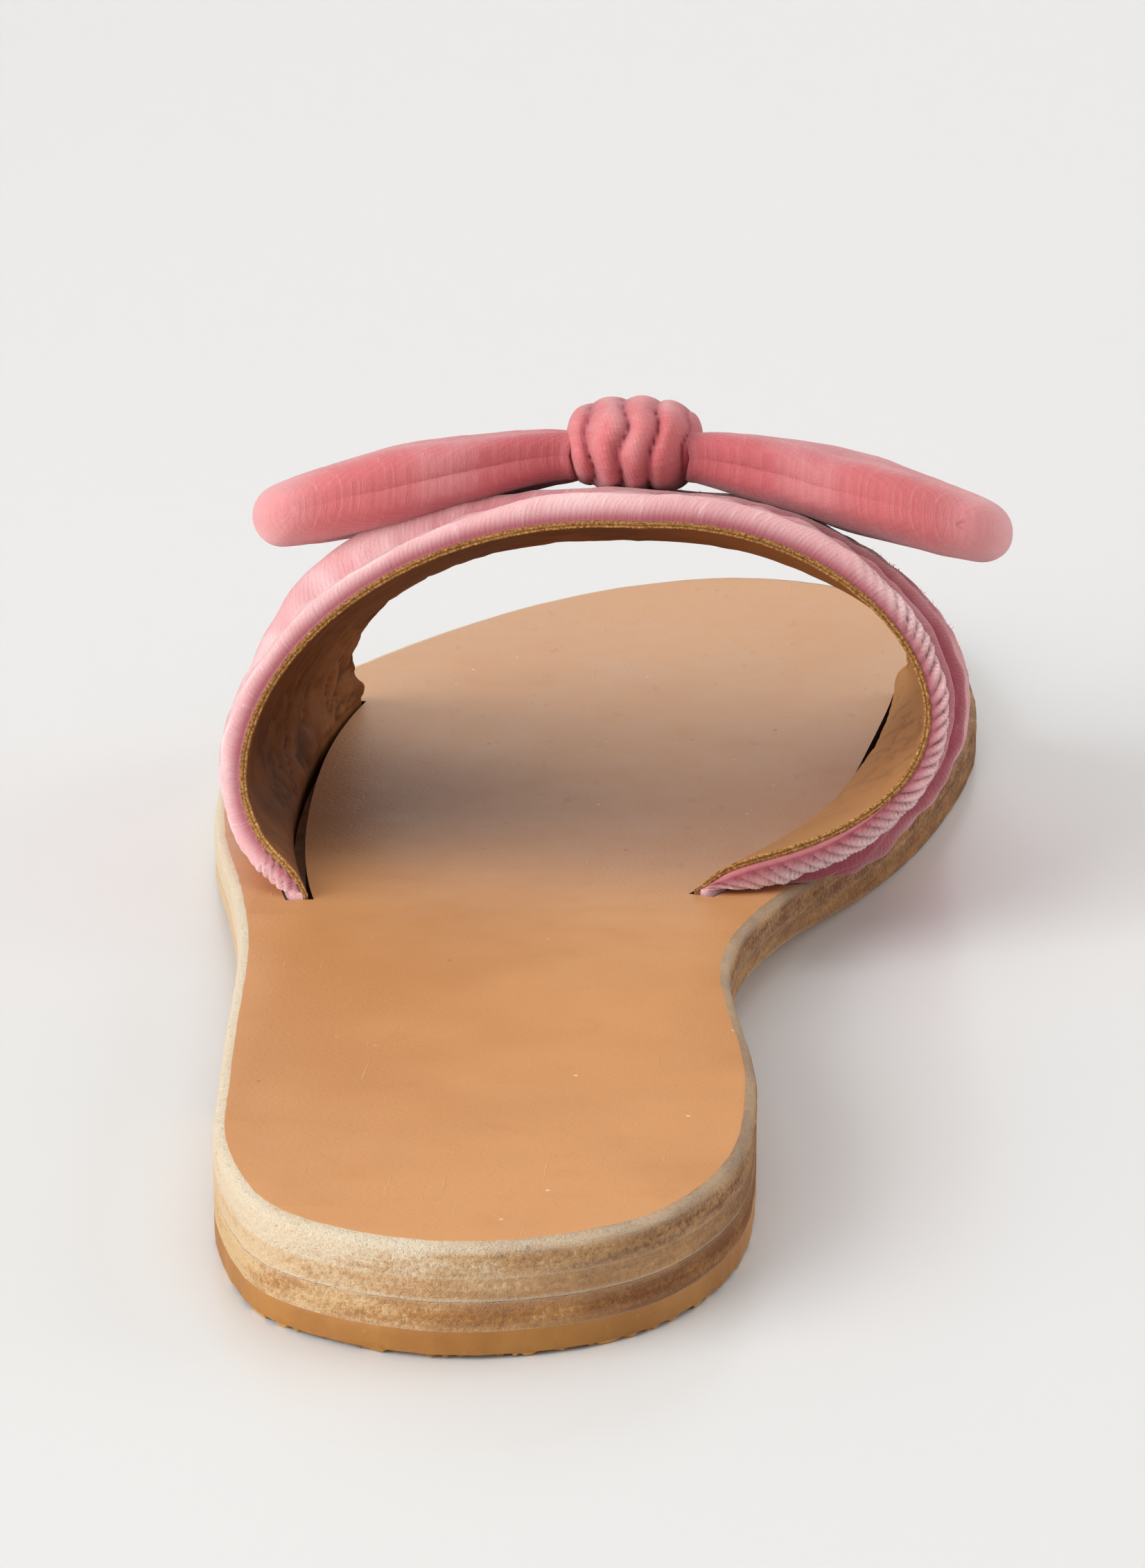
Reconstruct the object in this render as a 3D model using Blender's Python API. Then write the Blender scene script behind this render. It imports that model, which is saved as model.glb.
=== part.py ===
"""Flat leather slide sandal, left shoe, with a gathered velvet band and a bow.

Sizes below are in millimetres in the shoe's own axes: Y runs from the back of the heel to the toe,
X to the inner (medial) side of the foot and Z up from the floor.
"""

import math
from collections import namedtuple

import bmesh
import bpy
from mathutils import Vector
from mathutils.bvhtree import BVHTree

MM = 0.001

# Shoe, size 38
LENGTH = 252.0
HEEL_POINT = (0.0, 0.0)
TOE_POINT = (14.5, LENGTH)

# Layers of the sole
GAP = 0.3
TOP_PIECE = 2.5
HEEL_LIFT = 2.2
OUTSOLE = 2.3
INSOLE = 3.0
EDGE_CHAMFER = 0.6
HEEL_HEIGHT = TOP_PIECE + GAP + HEEL_LIFT + GAP

# Side view of the sole: the arch falls from the heel to the ball, and the toe springs up
ARCH_START = 64.0
BALL_START = 150.0
TOE_START = 200.0
TOE_SPRING = 1.0

# Breast line across the front of the heel
BREAST_LATERAL = (-28.2, 56.8)
BREAST_MEDIAL = (22.0, 65.8)

# Half outline of the sole on each side
Station = namedtuple("Station", "along lateral medial")
OUTLINE_STATIONS = (
    Station(6.0, -16.0, 16.2),
    Station(20.0, -23.4, 24.3),
    Station(42.0, -26.8, 25.6),
    Station(78.0, -30.8, 21.2),
    Station(104.0, -35.8, 25.0),
    Station(132.0, -42.2, 34.8),
    Station(160.0, -45.3, 42.4),
    Station(188.0, -42.2, 46.3),
    Station(212.0, -32.2, 44.5),
    Station(236.0, -15.4, 37.6),
    Station(247.5, -1.0, 28.6),
)
OUTLINE_STEPS = 4

# Upper band: its outer face as three arches, the rear edge, the middle and the front edge.
# A flare handle leaves the slot and a crown handle leaves the crown, as in a Bezier curve.
Arch = namedtuple(
    "Arch",
    "lateral_base medial_base crown lateral_flare lateral_crown medial_flare medial_crown",
)
REAR_ARCH = Arch(
    lateral_base=(-28.5, 98.3),
    medial_base=(17.6, 105.5),
    crown=(8.0, 124.0, 48.3),
    lateral_flare=(-23.5, 23.7, 4.8),
    lateral_crown=(-39.0, 2.0, 1.2),
    medial_flare=(45.0, 13.0, 4.6),
    medial_crown=(33.0, 2.0, 1.7),
)
MIDDLE_ARCH = Arch(
    lateral_base=(-36.4, 145.0),
    medial_base=(32.7, 152.5),
    crown=(6.5, 143.0, 44.3),
    lateral_flare=(-15.6, -2.0, 10.8),
    lateral_crown=(-32.5, 0.0, 1.2),
    medial_flare=(29.0, -4.5, 10.0),
    medial_crown=(31.5, 1.0, 1.7),
)
FRONT_ARCH = Arch(
    lateral_base=(-34.6, 188.0),
    medial_base=(37.9, 197.0),
    crown=(5.0, 163.0, 37.0),
    lateral_flare=(-6.4, -10.0, 14.0),
    lateral_crown=(-25.0, 1.0, 0.8),
    medial_flare=(10.0, -14.0, 12.0),
    medial_crown=(21.0, 1.0, 1.0),
)
LEG_THICKNESS = 2.2
BAND_THICKNESS = 3.0
LEG_RISE = 0.5
ROWS_ACROSS = 18
STEPS_UP = 13
STEP_GRADING = 1.5

# Long folds of the velvet, raised in the outer face of the band
FOLD_COUNT = 4
FOLD_HEIGHT = 0.9

# Bow on the crown of the band
KNOT_CENTRE = (6.0, 144.0)
KNOT_WIDTH = 15.0
KNOT_LENGTH = 25.0
KNOT_HEIGHT = 11.5
KNOT_CLEARANCE = 0.4

LOOP_REACH = 35.0
LOOP_ROOT_WIDTH = 19.0
LOOP_TIP_WIDTH = 31.0
LOOP_REAR_HEIGHT = 8.6
LOOP_FRONT_HEIGHT = 10.0
LOOP_REAR_MOUTH = 0.8
LOOP_FRONT_MOUTH = 4.8
LOOP_END_WALL = 3.0
LOOP_ROOT_LEVEL = 48.6
LOOP_DROOP = 9.0
LOOP_SLOPE = -0.24
LOOP_ROWS = 9
LOOP_STEPS = 26


def catmull_rom(points, steps):
    """A closed centripetal curve through the points, with steps samples in each stretch."""
    result = []
    count = len(points)
    for index in range(count):
        p0, p1, p2, p3 = (Vector(points[(index + k) % count]) for k in (-1, 0, 1, 2))
        t1 = (p1 - p0).length ** 0.5
        t2 = t1 + (p2 - p1).length ** 0.5
        t3 = t2 + (p3 - p2).length ** 0.5
        for step in range(steps):
            t = t1 + (t2 - t1) * step / steps
            a1 = p0.lerp(p1, t / t1)
            a2 = p1.lerp(p2, (t - t1) / (t2 - t1))
            a3 = p2.lerp(p3, (t - t2) / (t3 - t2))
            b1 = a1.lerp(a2, t / t2)
            b2 = a2.lerp(a3, (t - t1) / (t3 - t1))
            result.append(b1.lerp(b2, (t - t1) / (t2 - t1)))
    return result


def sole_outline(inset=0.0):
    """The outline of the sole, seen from above, as a closed list of 2D points."""
    lateral = [(s.lateral, s.along) for s in OUTLINE_STATIONS]
    medial = [(s.medial, s.along) for s in reversed(OUTLINE_STATIONS)]
    points = catmull_rom([HEEL_POINT, *lateral, TOE_POINT, *medial], OUTLINE_STEPS)
    if not inset:
        return points
    moved = []
    for index, point in enumerate(points):
        along = points[(index + 1) % len(points)] - points[index - 1]
        inward = Vector((along.y, -along.x)).normalized()
        moved.append(point + inward * inset)
    return moved


def smooth_step(value):
    value = min(max(value, 0.0), 1.0)
    return value * value * (3.0 - 2.0 * value)


def sole_rise(along):
    """Height of the outsole's underside above the floor."""
    arch = HEEL_HEIGHT * (1.0 - smooth_step((along - ARCH_START) / (BALL_START - ARCH_START)))
    toe = max(along - TOE_START, 0.0) / (LENGTH - TOE_START)
    return arch + TOE_SPRING * toe * toe


def insole_top(along):
    return sole_rise(along) + OUTSOLE + GAP + INSOLE


def new_material(name, colour, roughness, metallic=0.0):
    material = bpy.data.materials.new(name)
    material.use_nodes = True
    shader = material.node_tree.nodes["Principled BSDF"]
    shader.inputs["Base Color"].default_value = (*colour, 1.0)
    shader.inputs["Roughness"].default_value = roughness
    shader.inputs["Metallic"].default_value = metallic
    material.diffuse_color = (*colour, 1.0)
    return material


def finish_mesh(name, mesh, material):
    """Turns a bmesh in millimetres into a named object in metres, facing out."""
    bmesh.ops.triangulate(mesh, faces=mesh.faces[:])
    bmesh.ops.recalc_face_normals(mesh, faces=mesh.faces[:])
    bmesh.ops.scale(mesh, vec=(MM, MM, MM), verts=mesh.verts[:])
    data = bpy.data.meshes.new(name)
    mesh.to_mesh(data)
    mesh.free()
    if material:
        data.materials.append(material)
    shape = bpy.data.objects.new(name, data)
    bpy.context.scene.collection.objects.link(shape)
    return shape


def layer_mesh(thickness, chamfer):
    """A flat slab with the outline of the sole, its upper edge chamfered."""
    mesh = bmesh.new()
    levels = [(0.0, 0.0), (0.0, thickness)]
    if chamfer:
        levels = [(0.0, 0.0), (0.0, thickness - chamfer), (chamfer, thickness)]
    rings = []
    for inset, height in levels:
        rings.append([mesh.verts.new((p.x, p.y, height)) for p in sole_outline(inset)])
    for lower, upper in zip(rings, rings[1:]):
        for index in range(len(lower)):
            after = (index + 1) % len(lower)
            mesh.faces.new((lower[index], lower[after], upper[after], upper[index]))
    mesh.faces.new(rings[0])
    mesh.faces.new(rings[-1])
    return mesh


def cut_across(mesh, station):
    everything = mesh.verts[:] + mesh.edges[:] + mesh.faces[:]
    bmesh.ops.bisect_plane(mesh, geom=everything, plane_co=(0.0, station, 0.0), plane_no=(0.0, 1.0, 0.0))


def bent_layer(name, thickness, base_height, chamfer, material):
    """A layer that follows the arch and the toe spring."""
    mesh = layer_mesh(thickness, chamfer)
    station = ARCH_START
    while station < LENGTH - 8.0:
        cut_across(mesh, station)
        station += 6.0
    for vert in mesh.verts:
        vert.co.z += base_height + sole_rise(vert.co.y)
    return finish_mesh(name, mesh, material)


def heel_layer(name, thickness, base_height, material):
    """A flat layer of the heel, with the outline of the sole as far as the breast line."""
    mesh = layer_mesh(thickness, 0.0)
    start = Vector((*BREAST_LATERAL, 0.0))
    across = Vector((*BREAST_MEDIAL, 0.0)) - start
    forward = Vector((-across.y, across.x, 0.0)).normalized()
    everything = mesh.verts[:] + mesh.edges[:] + mesh.faces[:]
    cut = bmesh.ops.bisect_plane(mesh, geom=everything, plane_co=start, plane_no=forward, clear_outer=True)
    rim = [edge for edge in cut["geom_cut"] if isinstance(edge, bmesh.types.BMEdge)]
    bmesh.ops.contextual_create(mesh, geom=rim)
    bmesh.ops.translate(mesh, vec=(0.0, 0.0, base_height), verts=mesh.verts[:])
    return finish_mesh(name, mesh, material)


def blend_arches(share):
    """The arch at a share of the band's width, 0 at the rear edge and 1 at the front edge."""
    rear = (1.0 - share) * (1.0 - 2.0 * share)
    middle = 4.0 * share * (1.0 - share)
    front = share * (2.0 * share - 1.0)
    columns = zip(REAR_ARCH, MIDDLE_ARCH, FRONT_ARCH)
    return Arch(*(Vector(a) * rear + Vector(b) * middle + Vector(c) * front for a, b, c in columns))


def half_arch(base, flare, crown, crown_handle):
    """Points from the slot up to the crown, closer together near the slot."""
    controls = (base, base + flare, crown + crown_handle, crown)
    points = []
    for step in range(STEPS_UP + 1):
        t = (step / STEPS_UP) ** STEP_GRADING
        weights = ((1 - t) ** 3, 3 * t * (1 - t) ** 2, 3 * t * t * (1 - t), t ** 3)
        points.append(sum((c * w for c, w in zip(controls, weights)), Vector((0.0, 0.0, 0.0))))
    return points


def slot_outward(share, side):
    """Level direction across the slot, away from the foot."""
    step = 0.02
    before = blend_arches(max(share - step, 0.0))
    after = blend_arches(min(share + step, 1.0))
    run = getattr(after, side + "_base") - getattr(before, side + "_base")
    turn = 1.0 if side == "medial" else -1.0
    return Vector((run.y * turn, -run.x * turn, 0.0)).normalized()


def band_row(share):
    """One row of the band's outer face, from the lateral leg over the foot to the medial leg."""
    arch = blend_arches(share)
    halves = []
    for side in ("lateral", "medial"):
        base = getattr(arch, side + "_base")
        level = insole_top(base.y)
        start = Vector((base.x, base.y, level + LEG_RISE))
        rise = half_arch(start, getattr(arch, side + "_flare"), arch.crown, getattr(arch, side + "_crown"))
        foot = Vector((base.x, base.y, level - INSOLE))
        halves.append([foot, *rise])
    lateral, medial = halves
    return lateral + medial[-2::-1]


def fold_profile(share, along):
    """Raised height of the folds, fading out at the legs and under the bow."""
    fade = smooth_step(along / 0.12) * smooth_step((1.0 - along) / 0.12)
    fade *= smooth_step((abs(along - 0.5) - 0.07) / 0.12)
    wave = 0.5 - 0.5 * math.cos(2.0 * math.pi * FOLD_COUNT * share)
    return FOLD_HEIGHT * fade * wave


def band_faces():
    """Grids of points of the band's outer and inner faces."""
    shares = [row / (ROWS_ACROSS - 1) for row in range(ROWS_ACROSS)]
    plain = [band_row(share) for share in shares]
    last = len(plain[0]) - 1
    outer, inner = [], []
    for row, share in enumerate(shares):
        outer_row, inner_row = [], []
        for column in range(last + 1):
            point = plain[row][column]
            if column < 2 or column > last - 2:
                side = "lateral" if column < 2 else "medial"
                outer_row.append(point)
                inner_row.append(point - slot_outward(share, side) * LEG_THICKNESS)
                continue
            over = plain[row][column + 1] - plain[row][column - 1]
            across = plain[min(row + 1, ROWS_ACROSS - 1)][column] - plain[max(row - 1, 0)][column]
            outward = over.cross(across).normalized()
            if outward.dot(point - Vector((4.0, point.y, 10.0))) < 0.0:
                outward.negate()
            outer_row.append(point + outward * fold_profile(share, column / last))
            inner_row.append(point - outward * BAND_THICKNESS)
        outer.append(outer_row)
        inner.append(inner_row)
    return outer, inner


def bridge(mesh, first, second):
    for index in range(len(first) - 1):
        mesh.faces.new((first[index], first[index + 1], second[index + 1], second[index]))


def upper_band(material):
    """The band over the foot: one wall, with its legs in the slots of the insole."""
    mesh = bmesh.new()
    grids = []
    for grid in band_faces():
        grids.append([[mesh.verts.new(point) for point in row] for row in grid])
    outer, inner = grids
    for grid in grids:
        for first, second in zip(grid, grid[1:]):
            bridge(mesh, first, second)
    for edge in (0, -1):
        bridge(mesh, outer[edge], inner[edge])
        bridge(mesh, [row[edge] for row in outer], [row[edge] for row in inner])
    return finish_mesh("upper_band", mesh, material)


def slot_cutter(side):
    """The space that a leg of the band takes in the insole, with the gap around it."""
    mesh = bmesh.new()
    low, high = -5.0, 20.0
    columns = []
    for row in range(ROWS_ACROSS):
        share = row / (ROWS_ACROSS - 1)
        arch = blend_arches(share)
        base = getattr(arch, side + "_base").to_3d()
        outward = slot_outward(share, side)
        if row == 0 or row == ROWS_ACROSS - 1:
            run = outward.cross(Vector((0.0, 0.0, 1.0)))
            if (run.y > 0.0) != (row > 0):
                run.negate()
            base += run * GAP
        near = base - outward * (LEG_THICKNESS + GAP)
        far = base + outward * GAP
        corners = ((near, low), (far, low), (far, high), (near, high))
        columns.append([mesh.verts.new((c.x, c.y, height)) for c, height in corners])
    for first, second in zip(columns, columns[1:]):
        bridge(mesh, first + first[:1], second + second[:1])
    mesh.faces.new(columns[0])
    mesh.faces.new(columns[-1])
    cutter = finish_mesh("slot_cutter_" + side, mesh, None)
    cutter.hide_render = True
    cutter.display_type = "WIRE"
    return cutter


def cut_slots(insole):
    for side in ("lateral", "medial"):
        modifier = insole.modifiers.new("slot_" + side, "BOOLEAN")
        modifier.operation = "DIFFERENCE"
        modifier.solver = "EXACT"
        modifier.object = slot_cutter(side)


def bow_knot(band, material):
    """The wrap at the middle of the bow, seated on the crown of the band."""
    data = band.data
    tree = BVHTree.FromPolygons([v.co / MM for v in data.vertices], [p.vertices[:] for p in data.polygons])
    mesh = bmesh.new()
    bmesh.ops.create_uvsphere(mesh, u_segments=20, v_segments=14, radius=1.0)
    centre = Vector((*KNOT_CENTRE, 0.0))
    for vert in mesh.verts:
        square = [math.copysign(abs(value) ** 0.72, value) for value in vert.co]
        spot = centre + Vector((square[0] * KNOT_WIDTH / 2, square[1] * KNOT_LENGTH / 2, 0.0))
        seat = tree.ray_cast(Vector((spot.x, spot.y, 80.0)), Vector((0.0, 0.0, -1.0)))[0].z
        lift = KNOT_CLEARANCE + KNOT_HEIGHT * (0.5 + 0.5 * square[2])
        vert.co = Vector((spot.x, spot.y, seat + lift))
    return finish_mesh("bow_knot", mesh, material)


def loop_ring(reach, height, inset):
    """Points (along, up) round a loop seen from the heel, root first."""
    ring = []
    for step in range(LOOP_STEPS):
        turn = 2.0 * math.pi * step / LOOP_STEPS
        along = inset + (reach - 2.0 * inset) * 0.5 * (1.0 - math.cos(turn))
        up = 0.5 * height * math.copysign(abs(math.sin(turn)) ** 0.62, math.sin(turn))
        ring.append((along, up * (0.78 + 0.22 * along / reach)))
    return ring


def bow_loop(name, side, material):
    """One loop of the bow: a band that leaves the knot, turns at the tip and comes back."""
    mesh = bmesh.new()
    grids = []
    for is_mouth in (False, True):
        grid = []
        for row in range(LOOP_ROWS):
            share = row / (LOOP_ROWS - 1)
            mouth = LOOP_REAR_MOUTH + (LOOP_FRONT_MOUTH - LOOP_REAR_MOUTH) * smooth_step(share * 1.6)
            height = LOOP_REAR_HEIGHT + (LOOP_FRONT_HEIGHT - LOOP_REAR_HEIGHT) * share
            ring = loop_ring(LOOP_REACH, mouth if is_mouth else height, LOOP_END_WALL if is_mouth else 0.0)
            points = []
            for along, up in ring:
                out = along / LOOP_REACH
                width = LOOP_ROOT_WIDTH + (LOOP_TIP_WIDTH - LOOP_ROOT_WIDTH) * math.sin(out * 2.2)
                offset = (share - 0.5) * width
                x = KNOT_CENTRE[0] + side * (KNOT_WIDTH / 2 + GAP + along)
                z = LOOP_ROOT_LEVEL + up - LOOP_DROOP * out ** 1.4 + LOOP_SLOPE * offset
                points.append(mesh.verts.new((x, KNOT_CENTRE[1] + offset, z)))
            grid.append(points)
        grids.append(grid)
        for first, second in zip(grid, grid[1:]):
            bridge(mesh, first + first[:1], second + second[:1])
    outer, inner = grids
    for edge in (0, -1):
        bridge(mesh, outer[edge] + outer[edge][:1], inner[edge] + inner[edge][:1])
    return finish_mesh(name, mesh, material)


def stand_at_origin(pieces):
    """Parents the pieces to an empty that puts the middle of their base at the origin."""
    corners = [Vector(vert.co) for piece in pieces for vert in piece.data.vertices]
    middle_x = (min(c.x for c in corners) + max(c.x for c in corners)) / 2
    middle_y = (min(c.y for c in corners) + max(c.y for c in corners)) / 2
    shoe = bpy.data.objects.new("shoe", None)
    bpy.context.scene.collection.objects.link(shoe)
    shoe.location = (-middle_x, -middle_y, 0.0)
    for shape in [o for o in bpy.data.objects if o.type == "MESH"]:
        shape.parent = shoe


def main():
    for old in list(bpy.data.objects):
        bpy.data.objects.remove(old, do_unlink=True)

    insole_leather = new_material("insole_leather", (0.62, 0.33, 0.17), 0.48)
    outsole_leather = new_material("outsole_leather", (0.72, 0.45, 0.27), 0.55)
    stacked_leather = new_material("stacked_leather", (0.45, 0.28, 0.15), 0.75)
    crepe_rubber = new_material("crepe_rubber", (0.58, 0.31, 0.08), 0.6)
    pink_velvet = new_material("pink_velvet", (0.72, 0.24, 0.30), 0.85)
    bow_velvet = new_material("bow_velvet", (0.68, 0.18, 0.25), 0.85)

    lift_base = TOP_PIECE + GAP
    pieces = [
        heel_layer("heel_top_piece", TOP_PIECE, 0.0, crepe_rubber),
        heel_layer("heel_lift", HEEL_LIFT, lift_base, stacked_leather),
        bent_layer("outsole", OUTSOLE, 0.0, 0.0, outsole_leather),
    ]
    insole = bent_layer("insole", INSOLE, OUTSOLE + GAP, EDGE_CHAMFER, insole_leather)
    cut_slots(insole)
    band = upper_band(pink_velvet)
    pieces += [
        insole,
        band,
        bow_knot(band, bow_velvet),
        bow_loop("bow_loop_lateral", -1.0, bow_velvet),
        bow_loop("bow_loop_medial", 1.0, bow_velvet),
    ]
    stand_at_origin(pieces)


main()
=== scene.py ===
"""Looks of the flat velvet slide: leather sole, gathered velvet band and bow, left shoe.

Sizes are in millimetres in the shoe's own axes (Y from the back of the heel to the toe, X to the
inner side of the foot, Z up) and turn into the frame's metres in the function place.
"""

import math
import random
from collections import namedtuple
from functools import lru_cache

import bmesh
import bpy
from mathutils import Matrix, Vector, noise


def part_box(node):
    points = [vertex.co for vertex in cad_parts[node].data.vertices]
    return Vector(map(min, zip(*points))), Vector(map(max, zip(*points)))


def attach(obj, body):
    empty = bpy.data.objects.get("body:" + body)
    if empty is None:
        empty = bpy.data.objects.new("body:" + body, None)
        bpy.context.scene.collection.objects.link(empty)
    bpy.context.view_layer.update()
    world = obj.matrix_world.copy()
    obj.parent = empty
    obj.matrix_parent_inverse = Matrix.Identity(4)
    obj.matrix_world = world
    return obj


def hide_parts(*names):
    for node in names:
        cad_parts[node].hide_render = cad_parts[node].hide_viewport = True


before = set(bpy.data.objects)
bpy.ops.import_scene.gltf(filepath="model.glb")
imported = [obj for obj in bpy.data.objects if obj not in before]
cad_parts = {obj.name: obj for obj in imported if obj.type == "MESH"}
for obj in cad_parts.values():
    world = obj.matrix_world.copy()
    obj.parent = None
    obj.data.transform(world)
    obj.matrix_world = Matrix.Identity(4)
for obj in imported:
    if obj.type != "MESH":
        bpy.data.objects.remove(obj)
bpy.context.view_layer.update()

MM = 0.001

# Shoe, size 38
LENGTH = 252.0
HEEL_POINT = (0.0, 0.0)
TOE_POINT = (14.5, LENGTH)

# Layers of the sole
GAP = 0.3
TOP_PIECE = 2.5
HEEL_LIFT = 2.2
OUTSOLE = 2.3
INSOLE = 3.0
HEEL_HEIGHT = TOP_PIECE + GAP + HEEL_LIFT + GAP
SHARP_CORNER = 50.0

# Side view of the sole
ARCH_START = 64.0
BALL_START = 150.0
TOE_START = 200.0
TOE_SPRING = 1.0

# Breast line across the front of the heel
BREAST_LATERAL = (-28.2, 56.8)
BREAST_MEDIAL = (22.0, 65.8)

# Half outline of the sole on each side
Station = namedtuple("Station", "along lateral medial")
OUTLINE_STATIONS = (
    Station(6.0, -16.0, 16.2),
    Station(20.0, -23.4, 24.3),
    Station(42.0, -26.8, 25.6),
    Station(78.0, -30.8, 21.2),
    Station(104.0, -35.8, 25.0),
    Station(132.0, -42.2, 34.8),
    Station(160.0, -45.3, 42.4),
    Station(188.0, -42.2, 46.3),
    Station(212.0, -32.2, 44.5),
    Station(236.0, -15.4, 37.6),
    Station(247.5, -1.0, 28.6),
)
OUTLINE_STEPS = 14
RUBBER_OUTLINE_STEPS = 36
FLAT_CUTS = 4.0
RUBBER_CUTS = 0.6
SLOT_ROWS = 40

# Outer face of the band, as in the part's source
Arch = namedtuple(
    "Arch",
    "lateral_base medial_base crown lateral_flare lateral_crown medial_flare medial_crown",
)
REAR_ARCH = Arch(
    lateral_base=(-28.5, 98.3),
    medial_base=(17.6, 105.5),
    crown=(8.0, 124.0, 48.3),
    lateral_flare=(-23.5, 23.7, 4.8),
    lateral_crown=(-39.0, 2.0, 1.2),
    medial_flare=(45.0, 13.0, 4.6),
    medial_crown=(33.0, 2.0, 1.7),
)
MIDDLE_ARCH = Arch(
    lateral_base=(-36.4, 145.0),
    medial_base=(32.7, 152.5),
    crown=(6.5, 143.0, 44.3),
    lateral_flare=(-13.0, -2.0, 10.8),
    lateral_crown=(-32.5, 0.0, 1.2),
    medial_flare=(27.0, -4.5, 10.0),
    medial_crown=(31.5, 1.0, 1.7),
)
FRONT_ARCH = Arch(
    lateral_base=(-34.6, 188.0),
    medial_base=(37.9, 197.0),
    crown=(5.0, 163.0, 37.0),
    lateral_flare=(-6.4, -10.0, 14.0),
    lateral_crown=(-25.0, 1.0, 0.8),
    medial_flare=(10.0, -14.0, 12.0),
    medial_crown=(21.0, 1.0, 1.0),
)
LEG_THICKNESS = 2.2
BAND_THICKNESS = 3.0
LEG_RISE = 0.5
LINING_SHARE = 0.26
LATERAL_SLOT_ROOM = 1.5
# Turns from a slot to where the wall is full, and where velvet, puckers and waves set in
LEG_REACH = 0.14
VELVET_REACH = 0.05
PUCKER_REACH = 0.06
WAVE_REACH = 0.15

# Pleats of the velvet, from the rear: where each crease crosses the band on its three sides as a
# share of the band's width, how deep it is towards each slot, how far the pleat behind it
# hangs over it and how frayed that pleat's cut edge is
Crease = namedtuple("Crease", "lateral crown medial lateral_depth medial_depth overhang fray")
CREASES = (
    Crease(0.040, 0.11, 0.034, 0.02, 0.95, 0.3, 0.0),
    Crease(0.11, 0.21, 0.066, 0.04, 1.20, 0.5, 0.0),
    Crease(0.24, 0.34, 0.115, 1.10, 1.50, 0.9, 0.0),
    Crease(0.43, 0.50, 0.41, 1.10, 1.40, 1.1, 1.0),
    Crease(0.57, 0.61, 0.52, 1.20, 1.40, 1.2, 1.0),
    Crease(0.71, 0.72, 0.62, 1.10, 1.40, 1.2, 1.0),
    Crease(0.85, 0.85, 0.77, 1.00, 1.30, 1.1, 1.0),
)
PLEAT_PUFF = 1.0
# How far each pleat stands out on the medial side, where the rear ones step outward
PLEAT_STEPS = (-1.2, -0.1, 0.8, -0.6, -0.4, -0.2, 0.0, 0.0)
LIP_RADIUS = 1.2
HEM_RADIUS = 1.5
GATHER_RATE = 1.85
GATHER_SLANT = 1.6
RIM_HOVER = 0.7
FOLD_SAG = 1.5

# Mesh of the velvet and of the lining
VELVET_COLUMNS = 400
NEAR_CREASE = (0.0, 0.06, 0.15, 0.27, 0.42, 0.64, 1.0)
NEAR_RIM = (0.0, 0.05, 0.15, 0.3, 0.5, 0.75, 1.0)
PLEAT_ROWS = 5
HEM_ROWS = 11
GATHER_ROWS = 12
BACK_ROWS = 8
OUTWARD_STEPS = 40
LINING_COLUMNS = 250
LINING_ROWS = 70
LINING_RIM = 1.2
THREADS_PER_EDGE = 1500
FRONT_EDGE_FRAY = 0.8

# Bow on the crown of the band
KNOT_CENTRE = (6.0, 144.0)
KNOT_WIDTH = 15.0
KNOT_LENGTH = 25.0
KNOT_HEIGHT = 11.5
LOOP_REACH = 35.8
LOOP_ROOT_WIDTH = 19.0
LOOP_TIP_WIDTH = 31.0
LOOP_REAR_HEIGHT = 8.9
LOOP_FRONT_HEIGHT = 10.0
LOOP_REAR_PLY = 6.0
LOOP_TIP_PLY = 7.9
LOOP_FRONT_PLY = 3.0
LOOP_ROOT_LEVEL = 48.6
LOOP_DROOP = 9.0
LOOP_SLOPE = -0.24
LOOP_ROUNDS = 90
LOOP_RIBS = 44
KNOT_ROUNDS = 96
KNOT_SLICES = 56

# Colours of a cut edge, from pale to dark, and how pale the whole edge is. The edge runs pale on the outer
# side of the foot and dark on the inner side as painted light and shade.
EdgeTone = namedtuple("EdgeTone", "pale mid dark paleness")
INSOLE_EDGE = EdgeTone((0.86, 0.70, 0.50), (0.66, 0.38, 0.17), (0.22, 0.088, 0.040), 0.22)
OUTSOLE_EDGE = EdgeTone((0.82, 0.58, 0.34), (0.60, 0.31, 0.12), (0.24, 0.098, 0.036), 0.21)
LIFT_EDGE = EdgeTone((0.80, 0.54, 0.28), (0.55, 0.26, 0.088), (0.24, 0.088, 0.027), 0.16)
# Near-black tones of the slots' inner walls: painted shade in the slots.
SLOT_WALL_SHADE = EdgeTone((0.10, 0.04, 0.018), (0.06, 0.022, 0.01), (0.03, 0.01, 0.006), 0.0)

knot_low, knot_high = (Vector(corner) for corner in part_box("bow_knot"))
sole_low, sole_high = (Vector(corner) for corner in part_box("outsole"))
ORIGIN = Vector(((knot_low.x + knot_high.x) / 2 - KNOT_CENTRE[0] * MM, sole_low.y, 0.0))


def place(point):
    """A point of the shoe's own axes, in the frame's metres."""
    return ORIGIN + Vector(point) * MM


def smooth_step(value):
    value = min(max(value, 0.0), 1.0)
    return value * value * (3.0 - 2.0 * value)


def mix(low, high, share):
    return low + (high - low) * share


def signed_power(value, power):
    """A power of the value's size, with the value's sign."""
    return math.copysign(abs(value) ** power, value)


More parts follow.
